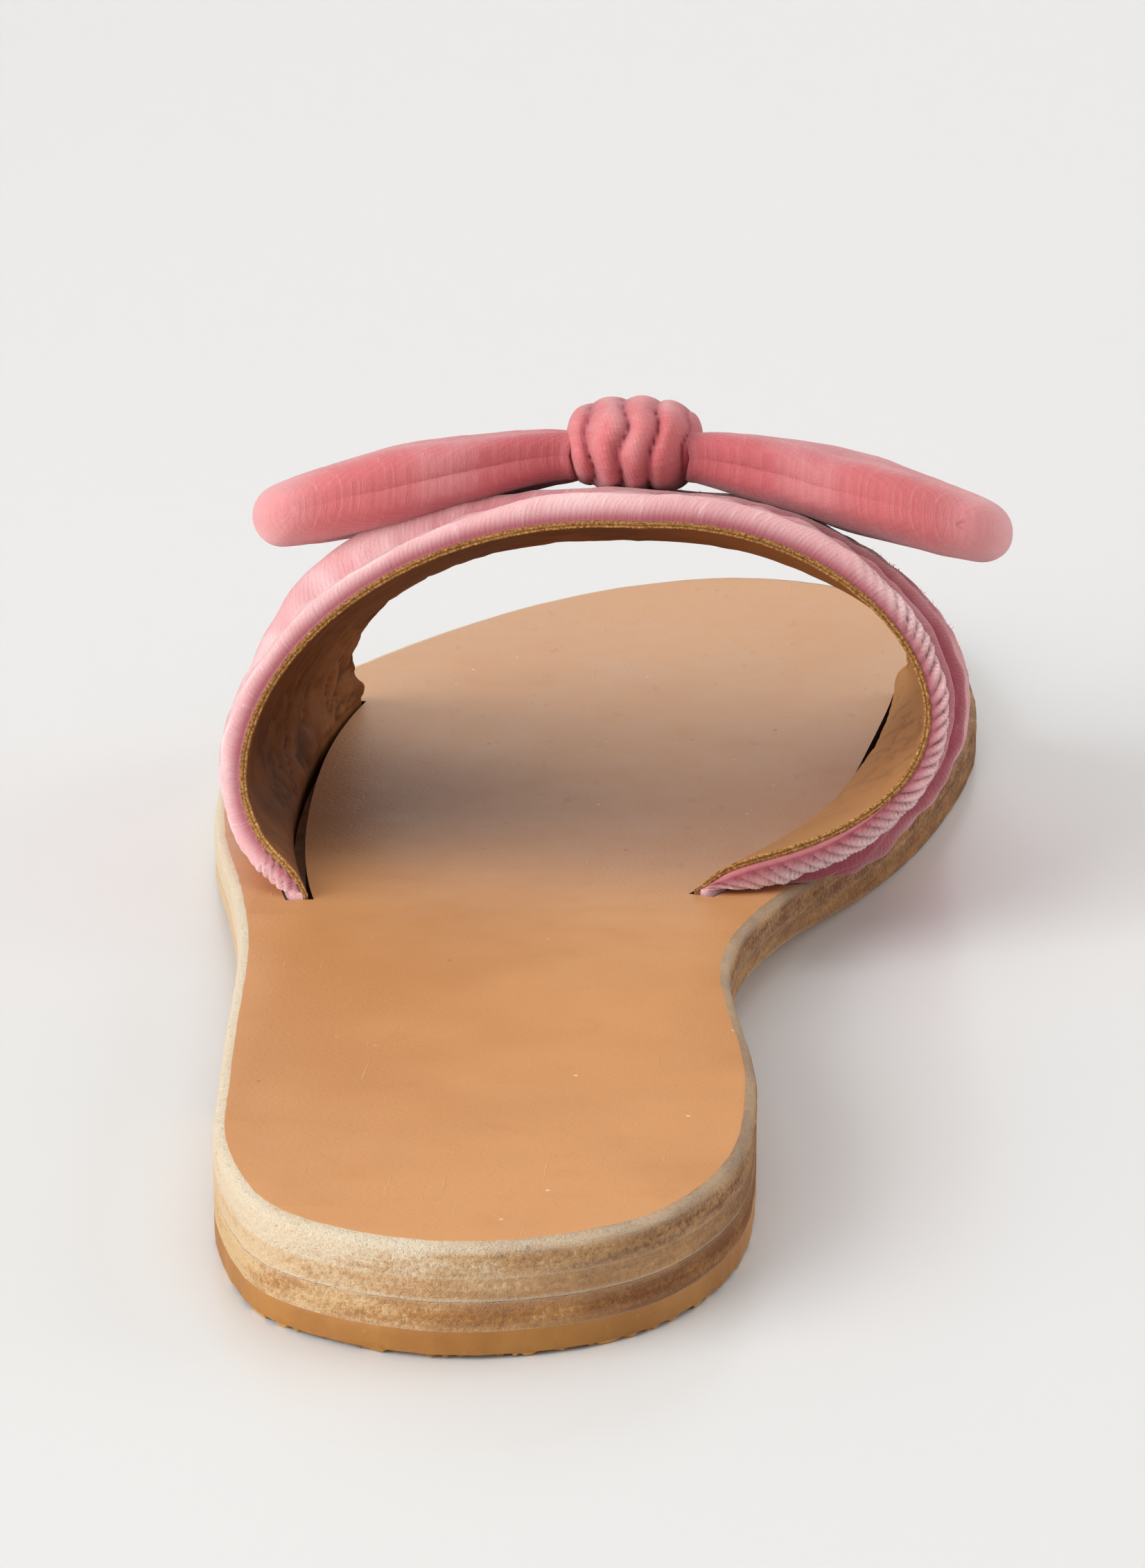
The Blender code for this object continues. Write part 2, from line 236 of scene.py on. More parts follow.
def catmull_rom(points, steps):
    """A closed centripetal curve through the points, with steps samples in each stretch."""
    result = []
    count = len(points)
    for index in range(count):
        p0, p1, p2, p3 = (Vector(points[(index + k) % count]) for k in (-1, 0, 1, 2))
        t1 = (p1 - p0).length ** 0.5
        t2 = t1 + (p2 - p1).length ** 0.5
        t3 = t2 + (p3 - p2).length ** 0.5
        for step in range(steps):
            t = t1 + (t2 - t1) * step / steps
            a1 = p0.lerp(p1, t / t1)
            a2 = p1.lerp(p2, (t - t1) / (t2 - t1))
            a3 = p2.lerp(p3, (t - t2) / (t3 - t2))
            b1 = a1.lerp(a2, t / t2)
            b2 = a2.lerp(a3, (t - t1) / (t3 - t1))
            result.append(b1.lerp(b2, (t - t1) / (t2 - t1)))
    return result


def sole_outline(inset=0.0, roughness=0.0, steps=OUTLINE_STEPS):
    """The outline of the sole, seen from above, as a closed list of 2D points."""
    lateral = [(s.lateral, s.along) for s in OUTLINE_STATIONS]
    medial = [(s.medial, s.along) for s in reversed(OUTLINE_STATIONS)]
    points = catmull_rom([HEEL_POINT, *lateral, TOE_POINT, *medial], steps)
    moved = []
    for index, point in enumerate(points):
        along = points[(index + 1) % len(points)] - points[index - 1]
        inward = Vector((along.y, -along.x)).normalized()
        rough = roughness * noise.noise(Vector((point.x, point.y, 0.0)) * 0.45)
        moved.append(point + inward * (inset + rough))
    return moved


def sole_rise(along):
    """Height of the outsole's underside above the floor."""
    arch = HEEL_HEIGHT * (1.0 - smooth_step((along - ARCH_START) / (BALL_START - ARCH_START)))
    toe = max(along - TOE_START, 0.0) / (LENGTH - TOE_START)
    return arch + TOE_SPRING * toe * toe


def insole_top(along):
    return sole_rise(along) + OUTSOLE + GAP + INSOLE


class Wire:
    """An output of a shader node. Arithmetic on wires adds the Math nodes that do it."""

    def __init__(self, tree, socket):
        self.tree = tree
        self.socket = socket

    def math(self, operation, *values):
        inputs = dict(enumerate(values))
        return add_node(self.tree, "ShaderNodeMath", {"operation": operation}, inputs)

    def __add__(self, other):
        return self.math("ADD", self, other)

    def __radd__(self, other):
        return self.math("ADD", other, self)

    def __sub__(self, other):
        return self.math("SUBTRACT", self, other)

    def __rsub__(self, other):
        return self.math("SUBTRACT", other, self)

    def __mul__(self, other):
        return self.math("MULTIPLY", self, other)

    def __rmul__(self, other):
        return self.math("MULTIPLY", other, self)

    def __pow__(self, power):
        return self.math("POWER", self, power)

    def highest(self, other):
        return self.math("MAXIMUM", self, other)

    def between(self, low, high):
        """0 below low, 1 above high and smooth between them."""
        settings = {"interpolation_type": "SMOOTHSTEP"}
        return add_node(self.tree, "ShaderNodeMapRange", settings, {0: self, 1: low, 2: high})


def add_node(tree, kind, settings=None, inputs=None, output=0):
    """Adds a node, sets it up, joins its sockets and returns one of its outputs as a wire."""
    node = tree.nodes.new(kind)
    for name, value in (settings or {}).items():
        if name == "stops":
            ramp = node.color_ramp
            while len(ramp.elements) < len(value):
                ramp.elements.new(1.0)
            for element, (position, colour) in zip(ramp.elements, value):
                element.position = position
                element.color = (*colour, 1.0)
        else:
            setattr(node, name, value)
    for key, value in (inputs or {}).items():
        socket = node.inputs[key]
        if isinstance(value, Wire):
            tree.links.new(value.socket, socket)
        elif isinstance(value, tuple) and len(value) == 3 and socket.type == "RGBA":
            socket.default_value = (*value, 1.0)
        else:
            socket.default_value = value
    return Wire(tree, node.outputs[output])


class Finish:
    """A material under construction: a Principled shader and the nodes that feed it."""

    def __init__(self, name, **constants):
        self.material = bpy.data.materials.new(name)
        self.material.use_nodes = True
        self.tree = self.material.node_tree
        self.shader = self.tree.nodes["Principled BSDF"]
        for socket, value in constants.items():
            self.shader.inputs[socket.replace("_", " ")].default_value = value

    def node(self, kind, settings=None, inputs=None, output=0):
        return add_node(self.tree, kind, settings, inputs, output)

    def in_millimetres(self, spot, stretch, turn):
        scale = tuple(value / MM for value in stretch)
        return self.node("ShaderNodeMapping", None, {0: spot, 2: turn, 3: scale})

    def place(self, stretch=(1.0, 1.0, 1.0), turn=(0.0, 0.0, 0.0)):
        """Object coordinates in millimetres, stretched along each axis."""
        return self.in_millimetres(self.node("ShaderNodeTexCoord", output=3), stretch, turn)

    def cloth_place(self, stretch=(1.0, 1.0, 1.0), turn=(0.0, 0.0, 0.0)):
        """Millimetres along and across the velvet, from its UV map."""
        spot = self.node("ShaderNodeUVMap", {"uv_map": "cloth"})
        return self.in_millimetres(spot, stretch, turn)

    def part_of(self, spot, axis):
        """One coordinate of a place: 0 is across the shoe and 1 is along it."""
        return self.node("ShaderNodeSeparateXYZ", None, {0: spot}, output=axis)

    def noise(self, spot, size, detail=3.0, roughness=0.55, distortion=0.0):
        """Cloudy noise around 0.5 whose features measure size in the spot's units."""
        inputs = {0: spot, 2: 1.0 / size, 3: detail, 4: roughness, 8: distortion}
        return self.node("ShaderNodeTexNoise", {"noise_dimensions": "3D"}, inputs)

    def specks(self, spot, size, randomness=1.0):
        """Distance to the nearest of many scattered points, in cells."""
        return self.node("ShaderNodeTexVoronoi", None, {0: spot, 2: 1.0 / size, 8: randomness})

    def ribs(self, spot, pitch, direction, distortion=0.0):
        settings = {"wave_type": "BANDS", "bands_direction": direction, "wave_profile": "SIN"}
        inputs = {0: spot, 1: 0.314 / pitch, 2: distortion, 3: 2.0, 4: 1.0}
        return self.node("ShaderNodeTexWave", settings, inputs, output=1)

    def attribute(self, name):
        return self.node("ShaderNodeAttribute", {"attribute_name": name}, output=2)

    def blend(self, low, high, share):
        """Mixes two colours by a share."""
        settings = {"data_type": "RGBA", "clamp_factor": True}
        return self.node("ShaderNodeMix", settings, {0: share, 6: low, 7: high}, output=2)

    def ramp(self, share, *stops):
        return self.node("ShaderNodeValToRGB", {"stops": stops}, {0: share})

    def relief(self, height, depth, below=None):
        """A bump of the given depth in millimetres, laid over another one."""
        inputs = {0: 1.0, 1: depth * MM, "Height": height}
        if below:
            inputs["Normal"] = below
        return self.node("ShaderNodeBump", None, inputs)

    def feed(self, socket, wire):
        self.tree.links.new(wire.socket, self.shader.inputs[socket])

    def done(self, colour=None, roughness=None, normal=None):
        for socket, wire in (("Base Color", colour), ("Roughness", roughness), ("Normal", normal)):
            if wire:
                self.feed(socket, wire)
        return self.material


def mesh_object(name, mesh, materials, smooth):
    """Turns a bmesh into an object of the scene."""
    data = bpy.data.meshes.new(name)
    mesh.to_mesh(data)
    mesh.free()
    for material in materials:
        data.materials.append(material)
    data.polygons.foreach_set("use_smooth", [smooth] * len(data.polygons))
    made = bpy.data.objects.new(name, data)
    bpy.context.scene.collection.objects.link(made)
    return made


def new_piece(name, mesh, materials, node, smooth=True, has_corners=False):
    """Turns a bmesh in the shoe's millimetres into a piece that stands for a CAD node."""
    for vert in mesh.verts:
        vert.co = place(vert.co)
    bmesh.ops.recalc_face_normals(mesh, faces=mesh.faces[:])
    piece = mesh_object(name, mesh, materials, smooth)
    if has_corners:
        keep_corners_sharp(piece)
    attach(piece, "root")
    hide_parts(node)
    return piece


def keep_corners_sharp(piece):
    piece.data.set_sharp_from_angle(angle=math.radians(SHARP_CORNER))


def bridge(mesh, first, second, material_index=0, closed=False):
    """Quads between two rows of vertices."""
    made = []
    count = len(first) if closed else len(first) - 1
    for index in range(count):
        after = (index + 1) % len(first)
        face = mesh.faces.new((first[index], first[after], second[after], second[index]))
        face.material_index = material_index
        made.append(face)
    return made


def insole_finish():
    """Smooth tan leather of the footbed, with dust and scuffs, and a greyer, pinker forefoot that is partly
    worn by feet and partly painted shadow and painted pink reflection.
    """
    finish = Finish("insole_leather", Roughness=0.42, Specular_IOR_Level=0.4)
    spot = finish.place()
    cloud = finish.noise(spot, 34.0, 3.0)
    fine_cloud = finish.noise(spot, 5.0, 4.0)
    tan = finish.blend((0.56, 0.245, 0.081), (0.65, 0.305, 0.112), cloud.between(0.3, 0.7))
    tan = finish.blend(tan, (0.50, 0.20, 0.065), fine_cloud.between(0.55, 0.85) * 0.3)
    along = finish.part_of(spot, 1)
    # Greyer, pinker forefoot: partly wear and dust, partly painted shadow and a painted pink reflection of
    # the velvet.
    forefoot_wear_shade_and_reflection = along.between(-40.0, 25.0) * (0.45 + 0.75 * finish.noise(spot, 16.0, 2.0))
    tan = finish.blend(tan, (0.56, 0.345, 0.22), forefoot_wear_shade_and_reflection * 0.75)
    toes = along.between(70.0, 125.0)
    tan = finish.blend(tan, (0.64, 0.34, 0.17), toes * 0.6)
    dust = 1.0 - finish.specks(spot, 5.0).between(0.03, 0.06)
    dust = dust * finish.noise(spot, 28.0, 2.0).between(0.42, 0.60)
    tan = finish.blend(tan, (0.90, 0.78, 0.62), dust * 0.6)
    pits = 1.0 - finish.specks(spot, 7.5).between(0.02, 0.05)
    tan = finish.blend(tan, (0.24, 0.09, 0.04), pits * 0.6)
    scratch_spot = finish.place((1.0, 0.06, 1.0), (0.0, 0.0, 0.5))
    scratches = finish.noise(scratch_spot, 0.55, 2.0).between(0.70, 0.78)
    tan = finish.blend(tan, (0.78, 0.48, 0.28), scratches * 0.3)
    smudge = finish.noise(finish.place((1.0, 0.5, 1.0), (0.0, 0.0, -0.4)), 2.6, 6.0, 0.72)
    tan = finish.blend(tan, (0.30, 0.15, 0.10), smudge.between(0.58, 0.74) * forefoot_wear_shade_and_reflection * 0.45)
    grain = finish.noise(spot, 0.55, 3.0)
    pores = finish.specks(spot, 0.9).between(0.0, 0.35)
    normal = finish.relief(grain, 0.05)
    normal = finish.relief(pores, 0.025, normal)
    normal = finish.relief(scratches + fine_cloud * 0.4, 0.04, normal)
    roughness = 0.38 + 0.16 * fine_cloud + 0.10 * dust
    return finish.done(tan, roughness, normal)


def raw_edge_finish(name, tone):
    """Cut edge of sole leather: fuzzy raised fibres with short dark flecks and pale wear along the corners.
    It darkens towards the inner side of the foot as painted shade, and the pale wear, partly painted light,
    is kept to the outer side.
    """
    finish = Finish(name, Roughness=0.85, Specular_IOR_Level=0.2)
    spot = finish.place()
    flecks = finish.noise(spot, 0.5, 4.0, 0.72)
    bands = finish.noise(finish.place((0.04, 0.04, 1.0)), 0.75, 3.0, 0.55)
    clouds = finish.noise(finish.place((0.45, 0.45, 1.5)), 3.8, 4.0, 0.65)
    across = finish.part_of(spot, 0)
    mottle = (flecks - 0.5) * 0.60 + (bands - 0.5) * 0.26 + (clouds - 0.5) * 0.52
    # Painted shade: darker towards the inner side of the foot, and paler as painted light on the outer
    # side.
    shade = 0.5 - tone.paleness + mottle + across.between(-30.0, 30.0) * 0.42
    colour = finish.ramp(shade, (0.36, tone.pale), (0.52, tone.mid), (0.78, tone.dark))
    rub = finish.attribute("rub")
    fuzz = finish.noise(spot, 0.5, 4.0, 0.75)
    # The pale wear fades towards the inner side of the foot, so it partly stands for painted light on the
    # outer side.
    rub = rub * (1.0 - 0.8 * across.between(4.0, 40.0))
    colour = finish.blend(colour, (0.90, 0.79, 0.62), rub * fuzz.between(0.20, 0.62) * 0.7)
    pits = 1.0 - finish.specks(finish.place((0.6, 0.6, 1.0)), 1.1).between(0.06, 0.20)
    pits = pits * clouds.between(0.45, 0.65)
    colour = finish.blend(colour, (0.17, 0.075, 0.03), pits * 0.35)
    normal = finish.relief(flecks, 0.22)
    normal = finish.relief(fuzz, 0.20, normal)
    return finish.done(colour, 0.75 + 0.2 * fuzz, normal)


# Size stamp: two stacked bows for the 3, open to the inner side of the foot, and two rings for the 8
STAMP_PLACE = (-4.5, 79.0, 0.0)
STAMP_RADIUS = 5.3
DIGIT_OFFSET = 1.6
DIGIT_RADIUS = 0.95


def size_stamp(across, along):
    """The size 38 in a ring, pressed into the waist of the sole: 1 in the pressed lines."""
    middle = place(STAMP_PLACE) / MM

    def ring(x, y, radius):
        off_x = across - (middle.x + x)
        off_y = along - (middle.y + y)
        miss = (off_x * off_x + off_y * off_y) ** 0.5 - radius
        return 1.0 - miss.math("ABSOLUTE", miss).between(0.12, 0.34)

    stamp = ring(0.0, 0.0, STAMP_RADIUS)
    closed_side = 1.0 - across.between(middle.x + DIGIT_OFFSET + 0.2, middle.x + DIGIT_OFFSET + 0.4)
    for level in (-DIGIT_RADIUS, DIGIT_RADIUS):
        stamp = stamp.highest(ring(-DIGIT_OFFSET, level, DIGIT_RADIUS))
        stamp = stamp.highest(ring(DIGIT_OFFSET, level, DIGIT_RADIUS) * closed_side)
    return stamp


def outsole_finish():
    """Pale underside leather: worn and dirty under the ball, scratched, darker at the toe."""
    finish = Finish("outsole_leather", Roughness=0.5, Specular_IOR_Level=0.4)
    spot = finish.place()
    across = finish.part_of(spot, 0)
    along = finish.part_of(spot, 1)
    cloud = finish.noise(spot, 30.0, 4.0)
    base = finish.blend((0.78, 0.46, 0.275), (0.86, 0.55, 0.36), cloud.between(0.3, 0.7))
    toe = along.between(30.0, 120.0)
    base = finish.blend(base, (0.68, 0.36, 0.165), toe * 0.75)
    grime = None
    for centre_x, centre_y, reach in ((-27.0, 24.0, 24.0), (22.0, 52.0, 26.0), (-2.0, 42.0, 14.0)):
        off_x = across - centre_x
        off_y = (along - centre_y) * 0.72
        distance = (off_x * off_x + off_y * off_y) ** 0.5
        patch = 1.0 - distance.between(reach * 0.1, reach)
        grime = patch if grime is None else grime.highest(patch)
    smear = finish.noise(finish.place((1.0, 0.35, 1.0), (0.0, 0.0, 0.45)), 2.6, 6.0, 0.72)
    dirt = (grime * smear.between(0.40, 0.66)) * 0.85
    base = finish.blend(base, (0.34, 0.21, 0.095), dirt)
    gold = (grime * finish.noise(spot, 1.5, 5.0, 0.7).between(0.56, 0.70)) * 0.7
    base = finish.blend(base, (0.55, 0.36, 0.08), gold)
    marks = 1.0 - finish.specks(spot, 9.0).between(0.015, 0.05)
    marks = marks * finish.noise(spot, 17.0, 2.0).between(0.5, 0.6)
    base = finish.blend(base, (0.12, 0.055, 0.03), marks * 0.8)
    cuts = finish.noise(finish.place((0.05, 1.0, 1.0), (0.0, 0.0, 0.6)), 0.5, 2.0).between(0.71, 0.78)
    base = finish.blend(base, (0.42, 0.22, 0.11), cuts * (0.25 + 0.4 * grime))
    stamp = size_stamp(across, along)
    base = finish.blend(base, (0.36, 0.17, 0.085), stamp * 0.7)
    grain = finish.noise(spot, 0.5, 3.0)
    normal = finish.relief(grain, 0.04)
    normal = finish.relief(cuts + dirt, 0.07, normal)
    normal = finish.relief(1.0 - stamp, 0.25, normal)
    roughness = 0.42 + 0.12 * cloud + 0.3 * dirt
    return finish.done(base, roughness, normal)


def crepe_finish():
    """Amber crepe rubber, paler on the ridges of its tread as painted highlight and darker in the hollows
    as painted shade.
    """
    finish = Finish("crepe_rubber", Roughness=0.5, Specular_IOR_Level=0.5)
    spot = finish.place()
    cloud = finish.noise(spot, 9.0, 4.0)
    hollow = finish.attribute("hollow")
    amber = finish.blend((0.33, 0.130, 0.020), (0.42, 0.185, 0.036), cloud.between(0.3, 0.7))
    # Painted highlight on the ridges.
    amber = finish.blend(amber, (0.66, 0.33, 0.07), finish.attribute("rub"))
    # Painted shade in the hollows.
    amber = finish.blend(amber, (0.30, 0.110, 0.018), hollow * 0.75)
    grit = finish.noise(spot, 0.7, 4.0, 0.7)
    amber = finish.blend(amber, (0.66, 0.42, 0.16), grit.between(0.60, 0.75) * 0.35)
    normal = finish.relief(grit, 0.08)
    return finish.done(amber, 0.45 + 0.25 * grit, normal)


def lining_finish():
    """Thin lining leather, creased where the band bends: dark as painted shade on the outer side of the
    foot, lighter as painted light towards the inner side, and darker as painted shade in its creases.
    """
    finish = Finish("lining_leather", Roughness=0.7, Specular_IOR_Level=0.12)
    spot = finish.place()
    cloud = finish.noise(spot, 11.0, 4.0, 0.6)
    crease = finish.attribute("crease")
    # Dark brown base: the lining in painted shade.
    brown = finish.blend((0.17, 0.058, 0.016), (0.29, 0.115, 0.036), cloud.between(0.3, 0.7))
    across = finish.part_of(spot, 0)
    # Painted light: lighter towards the inner side of the foot.
    brown = finish.blend(brown, (0.60, 0.30, 0.11), across.between(0.0, 34.0) * 0.8)
    # Painted shade in the creases of the puckers.
    brown = finish.blend(brown, (0.055, 0.016, 0.006), crease * 0.8)
    rub = finish.noise(spot, 2.2, 5.0, 0.7).between(0.56, 0.74)
    brown = finish.blend(brown, (0.56, 0.32, 0.15), rub * 0.25)
    grain = finish.noise(spot, 0.5, 4.0, 0.6)
    normal = finish.relief(grain, 0.06)
    normal = finish.relief(rub, 0.05, normal)
    return finish.done(brown, 0.55 + 0.2 * cloud, normal)


def lining_edge_finish():
    """Fuzzy golden cut edge of the lining, darkened as painted shade in the groove between its layers and
    in the lining's creases.
    """
    finish = Finish("lining_edge", Roughness=0.85, Specular_IOR_Level=0.2)
    spot = finish.place()
    fuzz = finish.noise(spot, 0.32, 4.0, 0.75)
    stops = ((0.34, (0.13, 0.045, 0.012)), (0.50, (0.44, 0.20, 0.055)), (0.66, (0.82, 0.48, 0.17)))
    colour = finish.ramp(fuzz, *stops)
    # Painted shade in the groove and the creases.
    colour = finish.blend(colour, (0.14, 0.05, 0.02), finish.attribute("crease") * 0.8)
    return finish.done(colour, None, finish.relief(fuzz, 0.25))


def velvet_finish(name, deep, mid, pale, slant, sheen, glint, patchiness):
    """Pink velvet: ribbed pile in pale and deep red crushed patches, with painted highlights and glints,
    and deep red painted shade in the creases.
    """
    finish = Finish(
        name,
        Roughness=0.8,
        Specular_IOR_Level=0.12,
        Sheen_Weight=sheen,
        Sheen_Roughness=0.38,
        Sheen_Tint=(1.0, 0.84, 0.86, 1.0),
    )
    spot = finish.place()
    turned = finish.cloth_place((1.0, 1.0, 1.0), (0.0, 0.0, slant))
    crease = finish.attribute("crease")
    patches = finish.noise(finish.cloth_place((0.45, 1.0, 1.0)), 6.5, 3.0, 0.6, 0.5)
    dashes = finish.noise(finish.cloth_place((1.0, 0.30, 1.0), (0.0, 0.0, slant)), 0.62, 3.0, 0.65)
    ribs = finish.ribs(turned, 0.52, "X", 1.8)
    colour = finish.blend(mid, pale, patches.between(0.44, 0.74) * patchiness)
    colour = finish.blend(colour, deep, (1.0 - patches).between(0.52, 0.76) * (0.65 * patchiness))
    # Painted highlights where the mesh marks them: the band's outer side, rear hem and gather crests, and
    # the loops' tips.
    colour = finish.blend(colour, pale, finish.attribute("nap"))
    glints = dashes.between(0.52, 0.72) * (0.65 + 0.35 * ribs)
    colour = finish.blend(colour, pale, glints * glint)
    colour = finish.blend(colour, deep, (1.0 - ribs) * (1.0 - dashes) * 0.11)
    # Painted shade: deep red in creases, gather valleys and undersides.
    colour = finish.blend(colour, deep, crease * 0.85)
    pile = finish.noise(spot, 0.22, 3.0, 0.7)
    normal = finish.relief(ribs, 0.022)
    normal = finish.relief(pile, 0.12, normal)
    normal = finish.relief(dashes, 0.12, normal)
    return finish.done(colour, None, normal)


def fringe_finish():
    """Pale loose threads of the velvet's cut edges."""
    finish = Finish("velvet_fringe", Roughness=0.8, Specular_IOR_Level=0.15, Sheen_Weight=0.5)
    tufts = finish.noise(finish.place(), 1.6, 3.0, 0.7)
    return finish.done(finish.blend((0.66, 0.24, 0.28), (0.90, 0.60, 0.60), tufts.between(0.35, 0.62)))


def layer_mesh(levels, top_index, cuts_along, cuts_across, steps=OUTLINE_STEPS):
    """A slab with the outline of the sole.

    Levels are (inset, height, rub) from the bottom edge to the top, and rub is how far the
    corner there is worn pale.
    """
    mesh = bmesh.new()
    rub_layer = mesh.verts.layers.float.new("rub")
    mesh.verts.layers.float.new("hollow")
    rings = []
    for inset, height, rub in levels:
        ring = [mesh.verts.new((p.x, p.y, height)) for p in sole_outline(inset, 0.12, steps)]
        for vert in ring:
            vert[rub_layer] = rub
        rings.append(ring)
    for lower, upper in zip(rings, rings[1:]):
        bridge(mesh, lower, upper, 1, closed=True)
    bottom = mesh.faces.new(rings[0])
    top = mesh.faces.new(rings[-1])
    bottom.material_index = 2
    top.material_index = top_index
    for axis, cuts in ((1, cuts_along), (0, cuts_across)):
        direction = Vector((0.0, 0.0, 0.0))
        direction[axis] = 1.0
        for cut in cuts:
            flat = [face for face in mesh.faces if face.material_index != 1]
            edges = {edge for face in flat for edge in face.edges}
            verts = {vert for face in flat for vert in face.verts}
            geometry = [*flat, *edges, *verts]
            bmesh.ops.bisect_plane(mesh, geom=geometry, plane_co=direction * cut, plane_no=direction)
    return mesh


def stations(first, last, step):
    count = int((last - first) / step)
    return [first + step * index for index in range(count + 1)]


def slot_room(share, side):
    """How far the slot stands open on the foot's side of the lining."""
    if side == "lateral":
        return LATERAL_SLOT_ROOM * (0.4 + 0.6 * math.sin(math.pi * share ** 0.8) ** 1.5)
    rear_end = 0.5 * (1.0 - smooth_step(share / 0.3))
    return 0.1 + rear_end + 0.9 * math.sin(math.pi * min(max((share - 0.5) / 0.5, 0.0), 1.0))


def slot_cutter(side, materials):
    """The space of a slot in the insole, a little wider than the leg on the foot's side."""
    mesh = bmesh.new()
    columns = []
    for row in range(SLOT_ROWS):
        share = row / (SLOT_ROWS - 1)
        base = arch_base(share, side)
        outward = slot_outward(share, side)
        if row in (0, SLOT_ROWS - 1):
            run = outward.cross(Vector((0.0, 0.0, 1.0)))
            if (run.y > 0.0) != (row > 0):
                run.negate()
            base += run * GAP
        room = slot_room(share, side)
        near = base - outward * (LEG_THICKNESS + room)
        far = base + outward * GAP
        corners = ((near, -5.0), (far, -5.0), (far, 20.0), (near, 20.0))
        columns.append([mesh.verts.new(place((c.x, c.y, height))) for c, height in corners])
    for first, second in zip(columns, columns[1:]):
        bridge(mesh, first, second, closed=True)
    mesh.faces.new(columns[0])
    mesh.faces.new(columns[-1])
    bmesh.ops.recalc_face_normals(mesh, faces=mesh.faces[:])
    for face in mesh.faces:
        face.material_index = 2
    return mesh_object("slot_cutter_" + side, mesh, materials, False)


def apply_modifiers(piece):
    """Bakes the piece's modifiers into its mesh."""
    graph = bpy.context.evaluated_depsgraph_get()
    data = bpy.data.meshes.new_from_object(piece.evaluated_get(graph))
    piece.modifiers.clear()
    piece.data = data


def make_insole(top, edge, slot_wall_shade):
    """The footbed, its rim bevelled and worn pale, with the two slots cut through."""
    base = OUTSOLE + 0.13
    height = INSOLE + GAP - 0.13
    levels = [
        (0.02, 0.0, 0.55),
        (0.0, 0.14, 0.25),
        (-0.03, height * 0.45, 0.0),
        (0.02, height - 1.05, 0.15),
        (0.22, height - 0.50, 0.9),
        (0.62, height - 0.14, 1.0),
        (1.15, height, 0.6),
    ]
    mesh = layer_mesh(levels, 0, stations(4.0, 248.0, FLAT_CUTS), stations(-40.0, 40.0, 2 * FLAT_CUTS))
    for vert in mesh.verts:
        spot = vert.co.copy()
        vert.co.z += base + sole_rise(spot.y)
        if spot.z > height - 0.01:
            vert.co.z += 0.12 * noise.noise(spot * 0.05) + 0.05 * noise.noise(spot * 0.16)
    piece = new_piece("footbed", mesh, (top, edge, slot_wall_shade), "insole")
    for side in ("lateral", "medial"):
        modifier = piece.modifiers.new("slot_" + side, "BOOLEAN")
        modifier.operation = "DIFFERENCE"
        modifier.solver = "EXACT"
        modifier.object = slot_cutter(side, (top, edge, slot_wall_shade))
    bpy.context.view_layer.update()
    apply_modifiers(piece)
    keep_corners_sharp(piece)
    for side in ("lateral", "medial"):
        bpy.data.objects.remove(bpy.data.objects["slot_cutter_" + side], do_unlink=True)
    return piece


def make_outsole(bottom, edge):
    height = OUTSOLE + 0.16
    levels = [
        (0.40, 0.0, 0.5),
        (0.12, 0.08, 0.8),
        (0.0, 0.30, 0.9),
        (0.0, 0.6, 0.2),
        (0.0, height - 0.16, 0.2),
        (0.02, height, 0.55),
    ]
    mesh = layer_mesh(levels, 2, stations(4.0, 248.0, FLAT_CUTS), stations(-40.0, 40.0, 2 * FLAT_CUTS))
    for vert in mesh.verts:
        vert.co.z += sole_rise(vert.co.y)
    materials = (edge, edge, bottom)
    return new_piece("outsole_worn", mesh, materials, "outsole", has_corners=True)


def cut_at_breast(mesh):
    """Keeps the part behind the breast line and closes it."""
    start = Vector((*BREAST_LATERAL, 0.0))
    across = Vector((*BREAST_MEDIAL, 0.0)) - start
    forward = Vector((-across.y, across.x, 0.0)).normalized()
    everything = mesh.verts[:] + mesh.edges[:] + mesh.faces[:]
    cut = bmesh.ops.bisect_plane(
        mesh, geom=everything, plane_co=start, plane_no=forward, clear_outer=True
    )
    rim = [edge for edge in cut["geom_cut"] if isinstance(edge, bmesh.types.BMEdge)]
    made = bmesh.ops.contextual_create(mesh, geom=rim)
    for face in made["faces"]:
        face.material_index = 1


def make_heel_lift(edge):
    height = HEEL_LIFT + GAP + 0.30
    levels = [
        (0.03, 0.0, 0.7),
        (0.0, 0.14, 0.2),
        (-0.02, height * 0.5, 0.0),
        (0.0, height - 0.14, 0.2),
        (0.02, height, 0.5),
    ]
    mesh = layer_mesh(levels, 1, (), ())
    cut_at_breast(mesh)
    bmesh.ops.translate(mesh, vec=(0.0, 0.0, TOP_PIECE + 0.13), verts=mesh.verts[:])
    materials = (edge, edge, edge)
    return new_piece("heel_lift_leather", mesh, materials, "heel_lift", has_corners=True)


def crepe_hollow(spot):
    """1 in the hollows between the crepe's worm-like ridges and 0 on the ridges."""
    bend = Vector((noise.noise(spot * 0.3), noise.noise(spot * 0.3 + Vector((9.0, 4.0, 2.0))), 0.0))
    field = noise.noise((spot + bend * 1.5) * 0.46)
    field += 0.22 * noise.noise(spot * 0.95 + Vector((3.0, 7.0, 1.0)))
    return smooth_step((abs(field) - 0.08) / 0.15)


